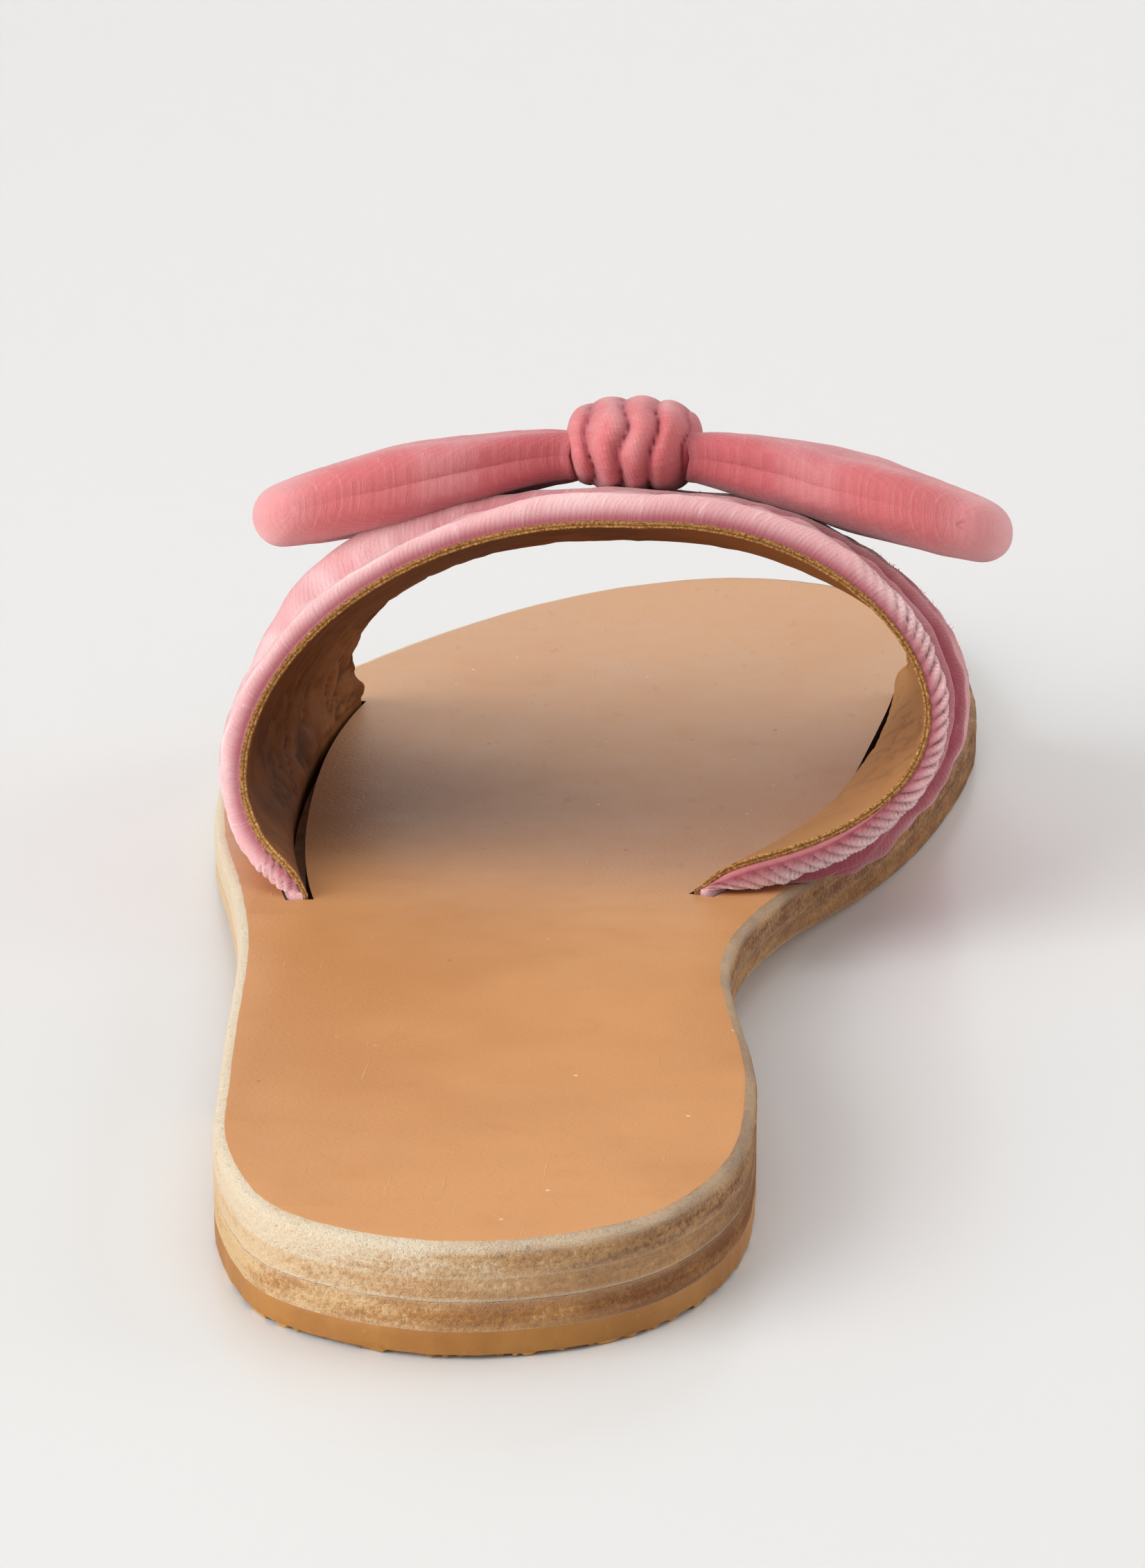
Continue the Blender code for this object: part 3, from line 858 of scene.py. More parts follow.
def make_top_piece(rubber):
    """The rubber piece that touches the floor, its underside and lower rim moulded in crepe ridges.

    The ridges are marked in the rub layer, which paints them paler as highlight, and the hollows in the
    hollow layer, which paints them darker as shade.
    """
    height = TOP_PIECE + 0.16
    levels = [
        (0.45, 0.0, 0.0),
        (0.12, 0.10, 0.0),
        (0.0, 0.42, 0.0),
        (-0.03, height * 0.4, 0.0),
        (-0.02, height * 0.7, 0.0),
        (0.0, height - 0.12, 0.0),
        (0.04, height, 0.0),
    ]
    cuts_along = stations(1.0, 66.0, RUBBER_CUTS)
    cuts_across = stations(-28.0, 28.0, RUBBER_CUTS)
    mesh = layer_mesh(levels, 1, cuts_along, cuts_across, RUBBER_OUTLINE_STEPS)
    cut_at_breast(mesh)
    hollow_layer = mesh.verts.layers.float["hollow"]
    rub_layer = mesh.verts.layers.float["rub"]
    for vert in mesh.verts:
        if vert.co.z < 0.3:
            hollow = crepe_hollow(vert.co)
            vert[hollow_layer] = hollow
            vert[rub_layer] = 1.0 - hollow
            vert.co.z += 0.55 * hollow
    node = "heel_top_piece"
    return new_piece("heel_rubber", mesh, (rubber, rubber, rubber), node, has_corners=True)


def blend_arches(share):
    """The arch at a share of the band's width, 0 at the rear edge and 1 at the front edge."""
    rear = (1.0 - share) * (1.0 - 2.0 * share)
    middle = 4.0 * share * (1.0 - share)
    front = share * (2.0 * share - 1.0)
    columns = zip(REAR_ARCH, MIDDLE_ARCH, FRONT_ARCH)
    return Arch(*(Vector(a) * rear + Vector(b) * middle + Vector(c) * front for a, b, c in columns))


def arch_base(share, side):
    base = getattr(blend_arches(share), side + "_base")
    return Vector((base.x, base.y, insole_top(base.y)))


def slot_outward(share, side):
    """Level direction across the slot, away from the foot."""
    run = arch_base(min(share + 0.02, 1.0), side) - arch_base(max(share - 0.02, 0.0), side)
    turn = 1.0 if side == "medial" else -1.0
    return Vector((run.y * turn, -run.x * turn, 0.0)).normalized()


def band_point(share, turn):
    """Point of the band's plain outer face.

    Turn is -1 at the lateral slot, 0 at the crown and 1 at the medial slot.
    """
    side = "lateral" if turn < 0.0 else "medial"
    arch = blend_arches(share)
    base = arch_base(share, side) + Vector((0.0, 0.0, LEG_RISE))
    rise = 1.0 - abs(turn)
    if rise < 0.0:
        return base + Vector((0.0, 0.0, rise * 20.0))
    t = rise ** 1.5
    flare = base + getattr(arch, side + "_flare")
    handle = arch.crown + getattr(arch, side + "_crown")
    weights = ((1 - t) ** 3, 3 * t * (1 - t) ** 2, 3 * t * t * (1 - t), t ** 3)
    return base * weights[0] + flare * weights[1] + handle * weights[2] + arch.crown * weights[3]


def clear_of_slot(turn, reach):
    """0 at the slots and 1 further up the band than the reach."""
    return smooth_step((1.0 - abs(turn)) / reach)


def band_outward(share, turn):
    """Direction out of the band's face, level across the slot in its legs."""
    side = "lateral" if turn < 0.0 else "medial"
    leg = slot_outward(share, side)
    if abs(turn) >= 1.0:
        return leg
    step = 0.012
    over = band_point(share, min(turn + step, 1.0)) - band_point(share, max(turn - step, -1.0))
    across = band_point(min(share + step, 1.0), turn) - band_point(max(share - step, 0.0), turn)
    outward = over.cross(across).normalized()
    if outward.dot(band_point(share, turn) - Vector((4.0, 145.0, 8.0))) < 0.0:
        outward.negate()
    return leg.lerp(outward, clear_of_slot(turn, LEG_REACH)).normalized()


def wall_thickness(turn):
    return mix(LEG_THICKNESS, BAND_THICKNESS, clear_of_slot(turn, LEG_REACH))


def velvet_thickness(turn):
    """The part of the wall that is velvet and padding."""
    return wall_thickness(turn) * (1.0 - LINING_SHARE)


def band_turns(count):
    """Turns from one slot over the crown to the other, with the legs at both ends."""
    rise = [-1.0 + 2.0 * index / count for index in range(count + 1)]
    return [-1.16, -1.08, -1.03] + rise + [1.03, 1.08, 1.16]


def band_width(turn):
    """Length across the band at a turn, in millimetres."""
    points = [band_point(index / 12, turn) for index in range(13)]
    return sum((b - a).length for a, b in zip(points, points[1:]))


def row_shares(width, rim, inner_rows):
    """Shares across the band, close together within the rim at both edges."""
    near = [rim * value / width for value in NEAR_RIM]
    steps = [(row + 1) / (inner_rows + 1) for row in range(inner_rows)]
    middle = [mix(near[-1], 1.0 - near[-1], step) for step in steps]
    return near + middle + [1.0 - share for share in reversed(near)]


@lru_cache(maxsize=None)
def outward_at_step(number, turn):
    return band_outward(number / OUTWARD_STEPS, turn)


def outward_at(share, turn):
    """Direction out of the band's face, between the shares where it was worked out."""
    spot = min(max(share, 0.0), 1.0) * OUTWARD_STEPS
    number = min(int(spot), OUTWARD_STEPS - 1)
    after = outward_at_step(number + 1, turn)
    return outward_at_step(number, turn).lerp(after, spot - number).normalized()


def crease_shares(turn):
    """Where the creases cross the band at a turn, wandering a little."""
    found = []
    for number, crease in enumerate(CREASES):
        side = crease.lateral if turn < 0.0 else crease.medial
        share = mix(crease.crown, side, min(abs(turn), 1.0) ** 0.8)
        if number < 3 and turn > 0.0:
            share *= 1.0 - 0.42 * smooth_step(1.0 - abs(turn - 0.5) / 0.45)
        wander = 0.006 if number < 2 else 0.020
        share += wander * noise.noise(Vector((turn * 3.6, number * 7.3, 1.0)))
        found.append(share)
    return found


def crease_depth(number, turn):
    """How deep a crease is at a turn. It is shallow under the knot and varies on its way down."""
    crease = CREASES[number]
    side = crease.lateral_depth if turn < 0.0 else crease.medial_depth
    depth = mix(0.8, side, smooth_step(abs(turn) / 0.35))
    return depth * (0.85 + 0.5 * noise.noise(Vector((turn * 3.0, number * 3.9, 8.0))))


def pleat_puff(number, turn):
    """How far a pleat swells. The rear ones lie flat on the lateral side, and one stands up by the bow."""
    flat = smooth_step(-turn / 0.3) * (1.0 if number < 2 else 0.35 if number == 2 else 0.0)
    puff = mix(PLEAT_PUFF, 0.02, flat)
    if number == 2:
        puff += 2.9 * smooth_step((turn + 0.46) / 0.2) * smooth_step((-0.02 - turn) / 0.2)
    return puff


def pleat_step(number, turn):
    """How far a pleat stands out from the plain face."""
    return PLEAT_STEPS[number] * smooth_step((turn - 0.1) / 0.3)


def hem_arc(from_rear):
    """Length over the rolled hem to a place on the velvet, and the roll's angle there."""
    angle = math.acos(1.0 - min(from_rear / HEM_RADIUS, 1.0))
    return HEM_RADIUS * angle + max(from_rear - HEM_RADIUS, 0.0), angle


def gather_height(from_rear, from_crease, turn, along):
    """Small puckers: rope-like along the medial rear edge, fine ones beside every crease."""
    arc = hem_arc(from_rear)[0]
    wander = 1.5 * noise.noise(Vector((along * 0.17, arc * 0.1, 4.0)))
    rope = abs(math.sin(GATHER_RATE * (along + GATHER_SLANT * arc) + wander)) ** 0.8 - 0.55
    rope *= 0.75 + 0.5 * noise.noise(Vector((along * 0.4, arc * 0.5, 9.0)))
    near_rim = math.exp(-abs((arc - 1.5) / 2.1) ** 3.0)
    if from_rear > 1.0:
        near_rim *= smooth_step(from_crease / 0.5)
    if turn > 0.0:
        strength = mix(1.2, 1.9, smooth_step((turn - 0.4) / 0.3)) * smooth_step((turn - 0.12) / 0.25)
    else:
        strength = 0.12 + 0.9 * smooth_step((-turn - 0.74) / 0.18)
    pucker = math.sin(1.5 * along + 0.9 * from_rear + 2.0 * wander)
    beside = math.exp(-from_crease / 2.2) if from_rear > 5.0 else 0.0
    return rope * near_rim * strength + 0.16 * pucker * beside


VelvetSpot = namedtuple("VelvetSpot", "share lift crease from_rear lip")


def velvet_column(turn, width):
    """The velvet from the rear hem to the front hem at one turn, as spots with their lift."""
    marks = [0.0, *crease_shares(turn), 1.0]
    hem_drop = velvet_thickness(turn)
    calm = clear_of_slot(turn, VELVET_REACH)
    spots = []
    for number, (low, high) in enumerate(zip(marks, marks[1:])):
        span = (high - low) * width
        reach = min(2.8, span * 0.42)
        near = [reach * value for value in NEAR_CREASE]
        inner = [mix(reach, span - reach, (row + 1) / (PLEAT_ROWS + 1)) for row in range(PLEAT_ROWS)]
        far = [span - value for value in reversed(near)]
        is_first = number == 0
        is_last = number == len(CREASES)
        rear_depth = 0.0 if is_first else crease_depth(number - 1, turn) * calm
        front_depth = 0.0 if is_last else crease_depth(number, turn) * calm
        overhang = 0.0
        if not is_last:
            overhang = CREASES[number].overhang * min(front_depth, 1.2) * min(span / 5.0, 1.0)
        places = near + inner + (far if is_last else far[:-1])
        if is_first:
            hem = min(HEM_RADIUS, span * 0.6)
            places = [hem * (1.0 - math.cos(math.pi / 2 * row / HEM_ROWS)) for row in range(HEM_ROWS)]
            places += [mix(hem, span, row / GATHER_ROWS) for row in range(GATHER_ROWS)]
        medial_fold = smooth_step((turn - 0.1) / 0.3) if number < 4 else 0.0
        for from_rear in places:
            from_front = span - from_rear
            swell = abs(math.sin(math.pi * from_rear / span)) ** 0.7
            puff = pleat_puff(number, turn) * calm * min(span / 6.0, 1.0) * swell
            off_hem = smooth_step(from_rear / 1.8) if is_first else 1.0
            lift = puff + pleat_step(number, turn) * calm * off_hem
            shade = 0.0
            if is_first:
                roll = min(from_rear / HEM_RADIUS, 1.0)
                lift -= (hem_drop + puff) * (1.0 - math.sqrt(1.0 - (1.0 - roll) ** 2))
                shade = max(shade, math.exp(-from_rear / 0.25))
            else:
                lift -= rear_depth * math.exp(-(abs(from_rear / 1.5) ** 1.3))
                valley = mix(math.exp(-from_rear / 1.3), math.exp(-((from_rear / 2.6) ** 3)), medial_fold)
                shade = max(shade, min(rear_depth, 1.0) * valley)
            lip = min(from_front / (HEM_RADIUS if is_last else LIP_RADIUS), 1.0)
            fall = 1.0 - math.sqrt(1.0 - (1.0 - lip) ** 2)
            lift -= (hem_drop + puff if is_last else front_depth + puff) * fall
            if not is_last:
                shade = max(shade, min(front_depth, 1.0) * math.exp(-from_front / 0.35))
            if number > 2:
                shade *= 0.75
            lean = overhang * smooth_step(lip * 1.6) * math.exp(-from_front / 4.0)
            share = low + (from_rear + lean) / width
            across = low * width + from_rear
            from_crease = min(from_rear, from_front)
            spots.append(VelvetSpot(share, lift, min(shade, 1.0) * calm, across, from_crease))
    return spots


def cloth_mesh():
    """An empty mesh with a UV map for the cloth and each vertex's crease, which is painted as shade, and
    its painted highlight.
    """
    mesh = bmesh.new()
    mesh.loops.layers.uv.new("cloth")
    mesh.verts.layers.float.new("crease")
    mesh.verts.layers.float.new("nap")
    return mesh


# A vertex of a cloth: its point, its place on the flat cloth in metres, how deep it lies in a
# crease, which is painted as shade, and how much painted highlight it has
ClothSpot = namedtuple("ClothSpot", "point uv crease nap")


def plain_spot(point, crease=0.0):
    return ClothSpot(point, (0.0, 0.0), crease, 0.0)


def turned_rows(columns):
    """Columns of a grid as rows."""
    return [list(row) for row in zip(*columns)]


def fill_grid(mesh, rows, material_index=0):
    """Adds rows of cloth spots as a grid of faces and returns its vertices."""
    crease_layer = mesh.verts.layers.float["crease"]
    painted_highlight_layer = mesh.verts.layers.float["nap"]
    uv_layer = mesh.loops.layers.uv["cloth"]
    verts = []
    for row in rows:
        vert_row = [mesh.verts.new(spot.point) for spot in row]
        for vert, spot in zip(vert_row, row):
            vert[crease_layer] = spot.crease
            vert[painted_highlight_layer] = spot.nap
        verts.append(vert_row)
    for row in range(len(verts) - 1):
        for column, face in enumerate(bridge(mesh, verts[row], verts[row + 1], material_index)):
            corners = ((row, column), (row, column + 1), (row + 1, column + 1), (row + 1, column))
            for loop, (r, c) in zip(face.loops, corners):
                loop[uv_layer].uv = rows[r][c].uv
    return verts


def lining_pucker(point, share, turn):
    """Height and crease depth of the lining's puckers: rounded cells, strongest low down at the front."""
    field = noise.noise(point * 0.15 + Vector((5.0, 2.0, 0.0)))
    field += 0.45 * noise.noise(point * 0.36)
    valley = 1.0 - min(abs(field) / 0.12, 1.0)
    low = smooth_step((abs(turn) - 0.30) / 0.35)
    strength = mix(0.3, 1.0, low) * mix(0.15, 1.0, smooth_step((share - 0.15) / 0.45))
    if turn > 0.0:
        strength *= 0.45
    height = 1.5 * min(abs(field), 0.35) + 0.10 * noise.noise(point * 0.7)
    return height * strength, valley * strength


def lining_grid(make):
    """Runs make(share, turn, width) over the band and returns its results row by row."""
    columns = []
    for turn in band_turns(LINING_COLUMNS):
        width = band_width(turn)
        shares = row_shares(width, LINING_RIM, LINING_ROWS)
        columns.append([make(share, turn, width) for share in shares])
    return turned_rows(columns)


# Cut rim of the lining, from the foot's side out: two folded layers with a groove between them
RimPoint = namedtuple("RimPoint", "share bulge groove")
RIM_SECTION = (
    RimPoint(0.05, 0.14, 0.0),
    RimPoint(0.28, 0.24, 0.0),
    RimPoint(0.46, 0.10, 1.0),
    RimPoint(0.62, 0.22, 0.0),
    RimPoint(0.90, 0.10, 0.5),
)


def make_lining(leather, edge):
    """The leather that the foot touches, with its cut rims showing at both edges of the band."""
    mesh = cloth_mesh()

    def wavy_share(share, turn, width):
        wave = 0.55 * noise.noise(Vector((turn * 9.0, 2.0, 5.0)))
        wave += 0.14 * noise.noise(Vector((turn * 27.0, 1.0, 3.0)))
        near_front = smooth_step((share - 0.6) / 0.4)
        return share + wave * near_front / width * clear_of_slot(turn, WAVE_REACH)

    def inner(share, turn, width):
        share = wavy_share(share, turn, width)
        outward = outward_at(share, turn)
        point = band_point(share, turn) - outward * wall_thickness(turn)
        calm = clear_of_slot(turn, PUCKER_REACH)
        height, valley = lining_pucker(point, share, turn)
        return plain_spot(point - outward * height * calm, valley * calm)

    def outer(share, turn, width):
        share = wavy_share(share, turn, width)
        return plain_spot(band_point(share, turn) - outward_at(share, turn) * velvet_thickness(turn))

    inner_verts = fill_grid(mesh, lining_grid(inner))
    outer_verts = fill_grid(mesh, lining_grid(outer))
    crease_layer = mesh.verts.layers.float["crease"]
    rim_rows = len(NEAR_RIM)
    for row, next_row in ((0, rim_rows - 1), (-1, -rim_rows)):
        before = inner_verts[row]
        next_verts = inner_verts[next_row]
        for share, bulge, groove in RIM_SECTION:
            ring = []
            for inner_vert, outer_vert, next_vert in zip(inner_verts[row], outer_verts[row], next_verts):
                away = (inner_vert.co - next_vert.co).normalized()
                fuzz = 0.10 * noise.noise(inner_vert.co * 1.4) + 0.08 * noise.noise(inner_vert.co * 3.1)
                vert = mesh.verts.new(inner_vert.co.lerp(outer_vert.co, share) + away * (bulge + fuzz))
                # The groove's depth goes into the crease layer, which paints it as shade on the edge.
                vert[crease_layer] = groove
                ring.append(vert)
            bridge(mesh, before, ring, 1)
            before = ring
        bridge(mesh, before, outer_verts[row], 1)
    for column in (0, -1):
        bridge(mesh, [row[column] for row in inner_verts], [row[column] for row in outer_verts], 1)
    return new_piece("band_lining", mesh, (leather, edge), "upper_band")


def make_band_velvet(velvet):
    """The velvet of the band: rolled at both edges, pleated along the band and puckered at its rims, with
    painted shade in its creases, gather valleys and under its medial rim, and painted highlights on its
    outer side, along its rear hem and on the gather crests.
    """
    mesh = cloth_mesh()
    turns = band_turns(VELVET_COLUMNS)
    rims = [[band_point(share, turn) for turn in turns] for share in (0.0, 1.0)]
    runs = []
    for rim in rims:
        run = [0.0]
        for before, after in zip(rim, rim[1:]):
            run.append(run[-1] + (after - before).length)
        runs.append(run)
    columns = []
    backs = []
    for index, turn in enumerate(turns):
        width = band_width(turn)
        calm = clear_of_slot(turn, VELVET_REACH)
        column = []
        for spot in velvet_column(turn, width):
            along = mix(runs[0][index], runs[1][index], spot.from_rear / width)
            point = band_point(spot.share, turn)
            from_edge = min(spot.from_rear, width - spot.from_rear)
            ease = smooth_step(from_edge / 1.0)
            soft = 0.40 * noise.noise(point * 0.13) + 0.22 * noise.noise(point * 0.34) - 0.12
            gather = gather_height(spot.from_rear, spot.lip, turn, along)
            arc, angle = hem_arc(spot.from_rear)
            gather *= smooth_step(arc / 0.35) * smooth_step((width - spot.from_rear) / 0.5) * calm
            share = spot.share - gather * math.cos(angle) / width
            lift = spot.lift + soft * ease * calm + gather * math.sin(angle)
            uv = (along * MM, spot.from_rear * MM)
            hover = smooth_step((0.975 - turn) / 0.05) * smooth_step((turn - 0.6) / 0.2)
            lift += RIM_HOVER * hover * math.exp(-spot.from_rear / 9.0)
            sag = smooth_step((turn - 0.66) / 0.1) * smooth_step((spot.from_rear - 3.2) / 2.0)
            lift += FOLD_SAG * sag * smooth_step((20.0 - spot.from_rear) / 8.0) * calm
            # Painted shade in the gather valleys and under the medial rim.
            valley = max(spot.crease, 0.7 * smooth_step(-gather / 0.55))
            underside = smooth_step((turn - 0.60) / 0.12) * smooth_step((spot.from_rear - 2.6) / 1.2)
            valley = max(valley, underside * smooth_step((26.0 - spot.from_rear) / 8.0))
            # Painted highlights on the outer side, along the rear hem and on the gather crests.
            nap = smooth_step(-turn / 0.25) * math.exp(-spot.from_rear / 16.0)
            nap *= smooth_step(spot.from_rear / 1.3) * (0.85 + 0.5 * noise.noise(point * 0.3))
            nap = max(nap, 0.5 * math.exp(-spot.from_rear / 9.0)) + 0.9 * max(gather, 0.0)
            place_now = band_point(share, turn) + outward_at(spot.share, turn) * lift
            if 0.5 < turn < 1.0:
                place_now.z = max(place_now.z, insole_top(place_now.y) + 0.12)
            column.append(ClothSpot(place_now, uv, valley, min(nap, 1.0)))
        columns.append(column)
        depth = velvet_thickness(turn) - 0.02
        back = []
        for row in range(BACK_ROWS + 1):
            share = row / BACK_ROWS
            back.append(plain_spot(band_point(share, turn) - outward_at(share, turn) * depth))
        backs.append(back)
    front_verts = fill_grid(mesh, turned_rows(columns))
    back_verts = fill_grid(mesh, turned_rows(backs))
    bridge(mesh, front_verts[0], back_verts[0])
    bridge(mesh, front_verts[-1], back_verts[-1])
    return new_piece("band_velvet", mesh, (velvet,), "upper_band")


def lip_points(number, turn):
    """A point of the cut edge of the pleat behind a crease, its outward and its forward direction."""
    width = band_width(turn)
    share = crease_shares(turn)[number]
    depth = crease_depth(number, turn)
    overhang = CREASES[number].overhang * min(depth, 1.2) * 0.8
    spot = share + (overhang - 0.25) / width
    outward = outward_at(spot, turn)
    ahead = band_point(min(spot + 0.02, 1.0), turn)
    forward = (ahead - band_point(max(spot - 0.02, 0.0), turn)).normalized()
    stand = 0.35 + pleat_step(number, turn)
    return band_point(spot, turn) + outward * stand, outward, forward


def make_fringe(threads):
    """Loose threads along the cut edges of the pleats and of the band's front edge."""
    mesh = bmesh.new()
    draw = random.Random(7)
    lines = [(number, crease.fray) for number, crease in enumerate(CREASES) if crease.fray]
    lines.append((None, FRONT_EDGE_FRAY))
    for number, fray in lines:
        for _ in range(THREADS_PER_EDGE):
            turn = draw.uniform(-0.99, 0.99)
            if number is None:
                outward = outward_at(1.0, turn)
                forward = (band_point(1.0, turn) - band_point(0.96, turn)).normalized()
                root = band_point(1.0, turn) - outward * draw.uniform(0.9, 1.6) - forward * 0.2
            else:
                root, outward, forward = lip_points(number, turn)
                root += outward * draw.uniform(-0.7, 0.35)
            along = outward.cross(forward)
            clump = 0.5 + 1.0 * noise.noise(Vector((turn * 26.0, (number or 9) * 5.0, 2.0)))
            length = fray * max(0.25, draw.uniform(0.5, 1.35) * (0.8 + clump))
            heading = forward + outward * draw.uniform(-0.25, 0.65) + along * draw.uniform(-0.6, 0.6)
            tip = root + heading.normalized() * length
            wide = along * 0.10
            corners = (root - wide, root + wide, tip)
            mesh.faces.new([mesh.verts.new(corner) for corner in corners])
    return new_piece("band_fringe", mesh, (threads,), "upper_band", smooth=False)


def loop_ply(out, share):
    """Thickness of the stuffed ribbon, from the knot at 0 to the tip at 1."""
    rear = mix(LOOP_REAR_PLY, LOOP_TIP_PLY, smooth_step((out - 0.1) / 0.6))
    return mix(rear, LOOP_FRONT_PLY, share ** 0.8)


def loop_path(turn, share):
    """A point (along, up) on the middle of a loop's ribbon and its tangent there.

    Turn runs from 0 to 1 round the loop and share from its rear edge to its front edge.
    """
    height = mix(LOOP_REAR_HEIGHT, LOOP_FRONT_HEIGHT, share)
    corner = 0.07 * abs(2.0 * share - 1.0) ** 5
    reach = (LOOP_REACH - loop_ply(1.0, share) / 2) * (1.0 - corner)

    def spot(value):
        angle = 2.0 * math.pi * (0.04 + 0.92 * value)
        along = -1.5 + (reach + 1.5) * 0.5 * (1.0 - math.cos(angle))
        out = min(max(along, 0.0) / reach, 1.0)
        up = 0.5 * (height - loop_ply(out, share)) * signed_power(math.sin(angle), 0.62)
        up *= 0.55 + 0.45 * smooth_step(out * 1.6)
        if up < 0.0:
            up -= 0.9 * math.sin(math.pi * out) * abs(math.sin(angle)) * (1.0 - share)
        return Vector((along, up))

    tangent = (spot(turn + 0.004) - spot(turn - 0.004)).normalized()
    return spot(turn), tangent


def make_loop(name, node, side, velvet):
    """One loop of the bow: a padded ribbon from the knot round its tip and back, with painted shade in the
    valleys of its gathers and under its lower ply, darker towards the knot, and painted highlights towards
    its tip.
    """
    mesh = cloth_mesh()
    cells = []
    for step in range(LOOP_ROUNDS + 1):
        turn = 0.5 + 0.5 * signed_power(2.0 * step / LOOP_ROUNDS - 1.0, 1.4)
        ring = []
        for rib in range(LOOP_RIBS + 1):
            angle = 2.0 * math.pi * rib / LOOP_RIBS
            across = signed_power(math.cos(angle), 0.42)
            thick = signed_power(math.sin(angle), 0.8)
            share = 0.5 - 0.5 * across
            spot, tangent = loop_path(turn, share)
            out = min(max(spot.x / LOOP_REACH, 0.0), 1.0)
            middle_share = abs(math.sin(math.pi * share)) ** 0.6
            width = mix(LOOP_ROOT_WIDTH, LOOP_TIP_WIDTH, math.sin(out * 2.2))
            ply = loop_ply(out, share) * (0.88 + 0.12 * out)
            normal = Vector((-tangent.y, tangent.x))
            gathers = (1.0 - out) ** 1.5
            fold_phase = share * 4.5 + 0.5 * noise.noise(Vector((spot.x * 0.05, side * 3.0, turn * 2.0)))
            fold = 1.1 * gathers * middle_share * (abs(math.sin(math.pi * fold_phase)) ** 0.7 - 0.6)
            dent = noise.noise(Vector((spot.x * 0.10 + side * 5.0, share * 2.8, turn * 3.5)))
            dent += 0.5 * noise.noise(Vector((spot.x * 0.27 + side * 3.0, share * 7.0, turn * 9.0)))
            bulge = ply / 2 * thick + max(fold * thick, -0.5) * (thick > 0.0) + 0.35 * dent
            along, up = spot + normal * bulge
            offset = across * -width / 2
            sway = 0.9 * noise.noise(Vector((out * 2.2, side * 2.0, 3.0)))
            x = KNOT_CENTRE[0] + side * (KNOT_WIDTH / 2 + GAP + along)
            y = KNOT_CENTRE[1] + offset + sway
            z = LOOP_ROOT_LEVEL + up - LOOP_DROOP * max(out, 0.0) ** 1.4 + LOOP_SLOPE * offset
            # Painted shade in the valleys of the gathers and under the lower ply; darker towards the knot.
            crease = gathers * middle_share * (1.0 - abs(math.sin(math.pi * fold_phase))) ** 2
            underneath = smooth_step((turn - 0.52) / 0.08) * smooth_step((0.75 - out) / 0.4) * (thick > 0.0)
            crease = max(crease, 0.30 * smooth_step((0.78 - out) / 0.6))
            # Painted highlight towards the tip.
            nap = 0.85 * smooth_step((out - 0.70) / 0.30)
            uv = (abs(turn - 0.5) * 80.0 * MM, share * width * MM)
            ring.append(ClothSpot(Vector((x, y, z)), uv, max(crease, 0.75 * underneath * thick), nap))
        cells.append(ring)
    verts = fill_grid(mesh, cells)
    for end in (0, -1):
        mesh.faces.new(verts[end][:-1])
    bmesh.ops.remove_doubles(mesh, verts=mesh.verts[:], dist=0.001)
    piece = new_piece(name, mesh, (velvet,), node)
    return piece


def make_knot(velvet):
    """The wrap round the middle of the bow, with folds that run over it from front to back and painted
    shade between them.
    """
    mesh = cloth_mesh()
    middle = ((knot_low + knot_high) / 2 - ORIGIN) / MM
    cells = []
    for slice_number in range(KNOT_SLICES + 1):
        side_turn = math.pi * slice_number / KNOT_SLICES
        across = -math.cos(side_turn)
        girth = math.sin(side_turn) ** 0.5
        ring = []
        for step in range(KNOT_ROUNDS + 1):
            angle = 2.0 * math.pi * step / KNOT_ROUNDS
            round_y = signed_power(math.cos(angle), 0.8)
            round_z = signed_power(math.sin(angle), 0.8)
            fold_phase = across * 2.1 + 0.35 * noise.noise(Vector((across, round_y * 1.2, round_z * 1.2)))
            ridge = abs(math.sin(math.pi * fold_phase + 0.8)) ** 0.6
            size = 0.89 + 0.14 * ridge + 0.03 * noise.noise(Vector((across * 3.0, angle * 1.3, 2.0)))
            pinch = 1.0 + 0.06 * across * across
            x = middle.x + across * KNOT_WIDTH / 2 * 1.02
            y = middle.y + round_y * girth * size * pinch * KNOT_LENGTH / 2
            seat = -0.22 * (y - middle.y)
            z = middle.z + 0.3 + round_z * girth * size * KNOT_HEIGHT / 2 + seat
            uv = (angle * 8.0 * MM, across * 9.0 * MM)
            # Painted shade between the folds.
            ring.append(ClothSpot(Vector((x, y, z)), uv, (1.0 - ridge) ** 1.5, 0.0))
        cells.append(ring)
    fill_grid(mesh, cells)
    bmesh.ops.remove_doubles(mesh, verts=mesh.verts[:], dist=0.001)
    return new_piece("bow_knot_velvet", mesh, (velvet,), "bow_knot")


def make_sole():
    insole_edge = raw_edge_finish("insole_edge", INSOLE_EDGE)
    slot_wall_shade = raw_edge_finish("slot_wall_shade", SLOT_WALL_SHADE)
    make_insole(insole_finish(), insole_edge, slot_wall_shade)
    make_outsole(outsole_finish(), raw_edge_finish("outsole_edge", OUTSOLE_EDGE))
    make_heel_lift(raw_edge_finish("lift_edge", LIFT_EDGE))
    make_top_piece(crepe_finish())


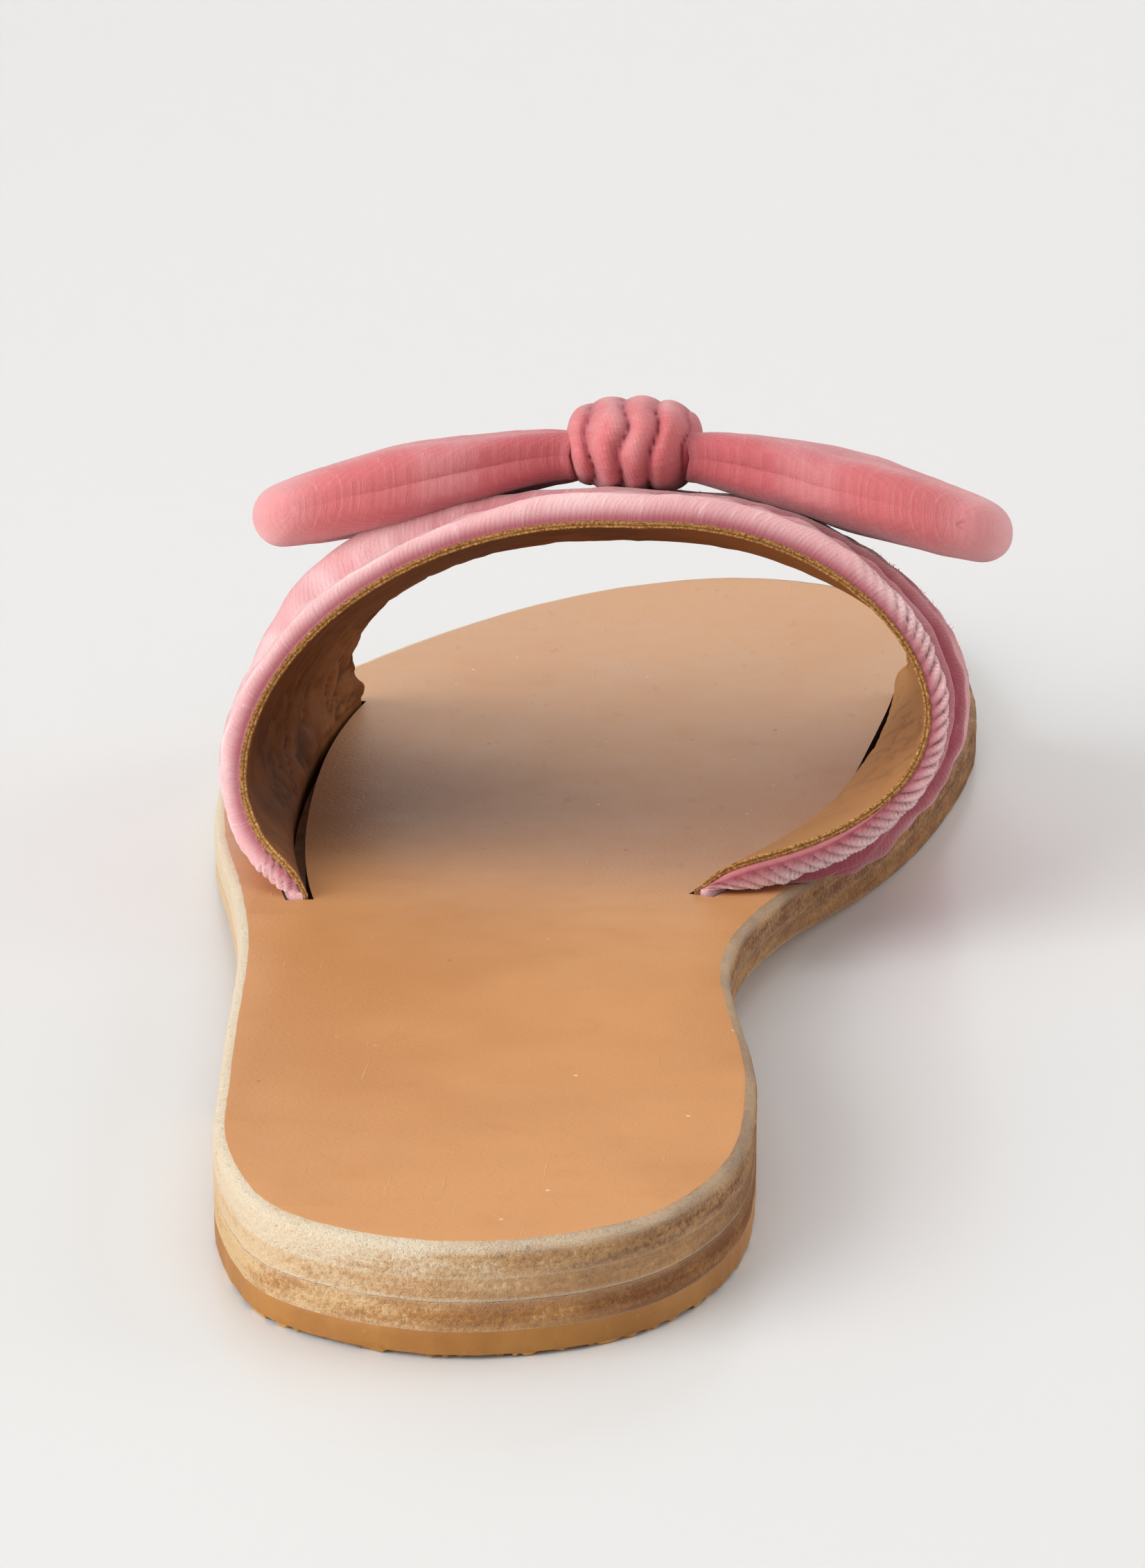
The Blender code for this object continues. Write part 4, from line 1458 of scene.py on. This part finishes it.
def make_upper():
    deep, mid, pale = (0.30, 0.028, 0.055), (0.72, 0.215, 0.24), (0.97, 0.72, 0.72)
    band_pink = velvet_finish("band_velvet_pink", deep, mid, pale, 0.5, 0.8, 0.6, 0.55)
    bow_mid, bow_pale = (0.69, 0.185, 0.195), (0.90, 0.48, 0.49)
    bow_pink = velvet_finish("bow_velvet_pink", deep, bow_mid, bow_pale, 1.3, 0.6, 0.30, 0.4)
    make_lining(lining_finish(), lining_edge_finish())
    make_band_velvet(band_pink)
    make_fringe(fringe_finish())
    make_loop("bow_loop_lateral_velvet", "bow_loop_lateral", -1.0, bow_pink)
    make_loop("bow_loop_medial_velvet", "bow_loop_medial", 1.0, bow_pink)
    make_knot(bow_pink)


# Camera: it stands where the photograph was taken from, turned to this shoe and zoomed in on it
CAMERA_PLACE = (43.9, -366.7, 168.4)
CAMERA_TARGET = (1.0, 118.0, 17.0)
LENS = 104.0
FILM_WIDTH = 36.0


def facing(spot, target):
    """The matrix of something that stands at the spot and looks at the target."""
    turn = (target - spot).to_track_quat("-Z", "Y")
    return Matrix.Translation(spot) @ turn.to_matrix().to_4x4()


def make_camera():
    data = bpy.data.cameras.new("camera")
    data.lens = LENS
    data.sensor_width = FILM_WIDTH
    data.clip_start = 0.01
    camera = bpy.data.objects.new("camera", data)
    bpy.context.scene.collection.objects.link(camera)
    camera.matrix_world = facing(place(CAMERA_PLACE), place(CAMERA_TARGET))
    bpy.context.scene.camera = camera


def make_light(name, spot, size, power, colour, target=(0.0, 0.02, 0.02)):
    data = bpy.data.lights.new(name, "AREA")
    data.shape = "RECTANGLE"
    data.size, data.size_y = size
    data.energy = power
    data.color = colour
    light = bpy.data.objects.new(name, data)
    bpy.context.scene.collection.objects.link(light)
    light.matrix_world = facing(Vector(spot), Vector(target))


def make_stage():
    """A pale glossy table that curves up into a pale backdrop."""
    mesh = bmesh.new()
    profile = [(-3.0, 0.0), (1.6, 0.0)]
    for step in range(1, 13):
        angle = math.pi / 2 * step / 12
        profile.append((1.6 + 0.8 * math.sin(angle), 0.8 - 0.8 * math.cos(angle)))
    profile.append((2.4, 4.0))
    rows = [[mesh.verts.new((x, y, z - 0.00005)) for x in (-4.0, 4.0)] for y, z in profile]
    for first, second in zip(rows, rows[1:]):
        bridge(mesh, first, second)
    white = (0.765, 0.765, 0.76, 1.0)
    finish = Finish("studio_white", Base_Color=white, Roughness=0.26, Specular_IOR_Level=0.45)
    mesh_object("studio_floor", mesh, (finish.material,), True)


def make_studio():
    world = bpy.data.worlds.new("studio_world")
    bpy.context.scene.world = world
    world.use_nodes = True
    background = world.node_tree.nodes["Background"]
    background.inputs["Color"].default_value = (1.0, 0.99, 0.98, 1.0)
    background.inputs["Strength"].default_value = 0.54
    make_light("key_light", (-1.05, -0.80, 0.66), (1.3, 1.0), 20.0, (1.0, 0.985, 0.965))
    make_light("fill_light", (1.15, 0.25, 0.45), (1.0, 0.9), 4.5, (1.0, 0.96, 0.93))
    make_light("top_light", (0.0, 0.5, 1.6), (1.6, 1.2), 5.0, (0.99, 0.99, 1.0))
    make_light(
        "backdrop_light", (0.0, 0.9, 1.5), (2.4, 0.6), 12.0, (1.0, 1.0, 1.0), target=(0.0, 2.3, 0.6)
    )
    bpy.context.scene.view_settings.view_transform = "Standard"


make_sole()
make_upper()
make_stage()
make_studio()
make_camera()
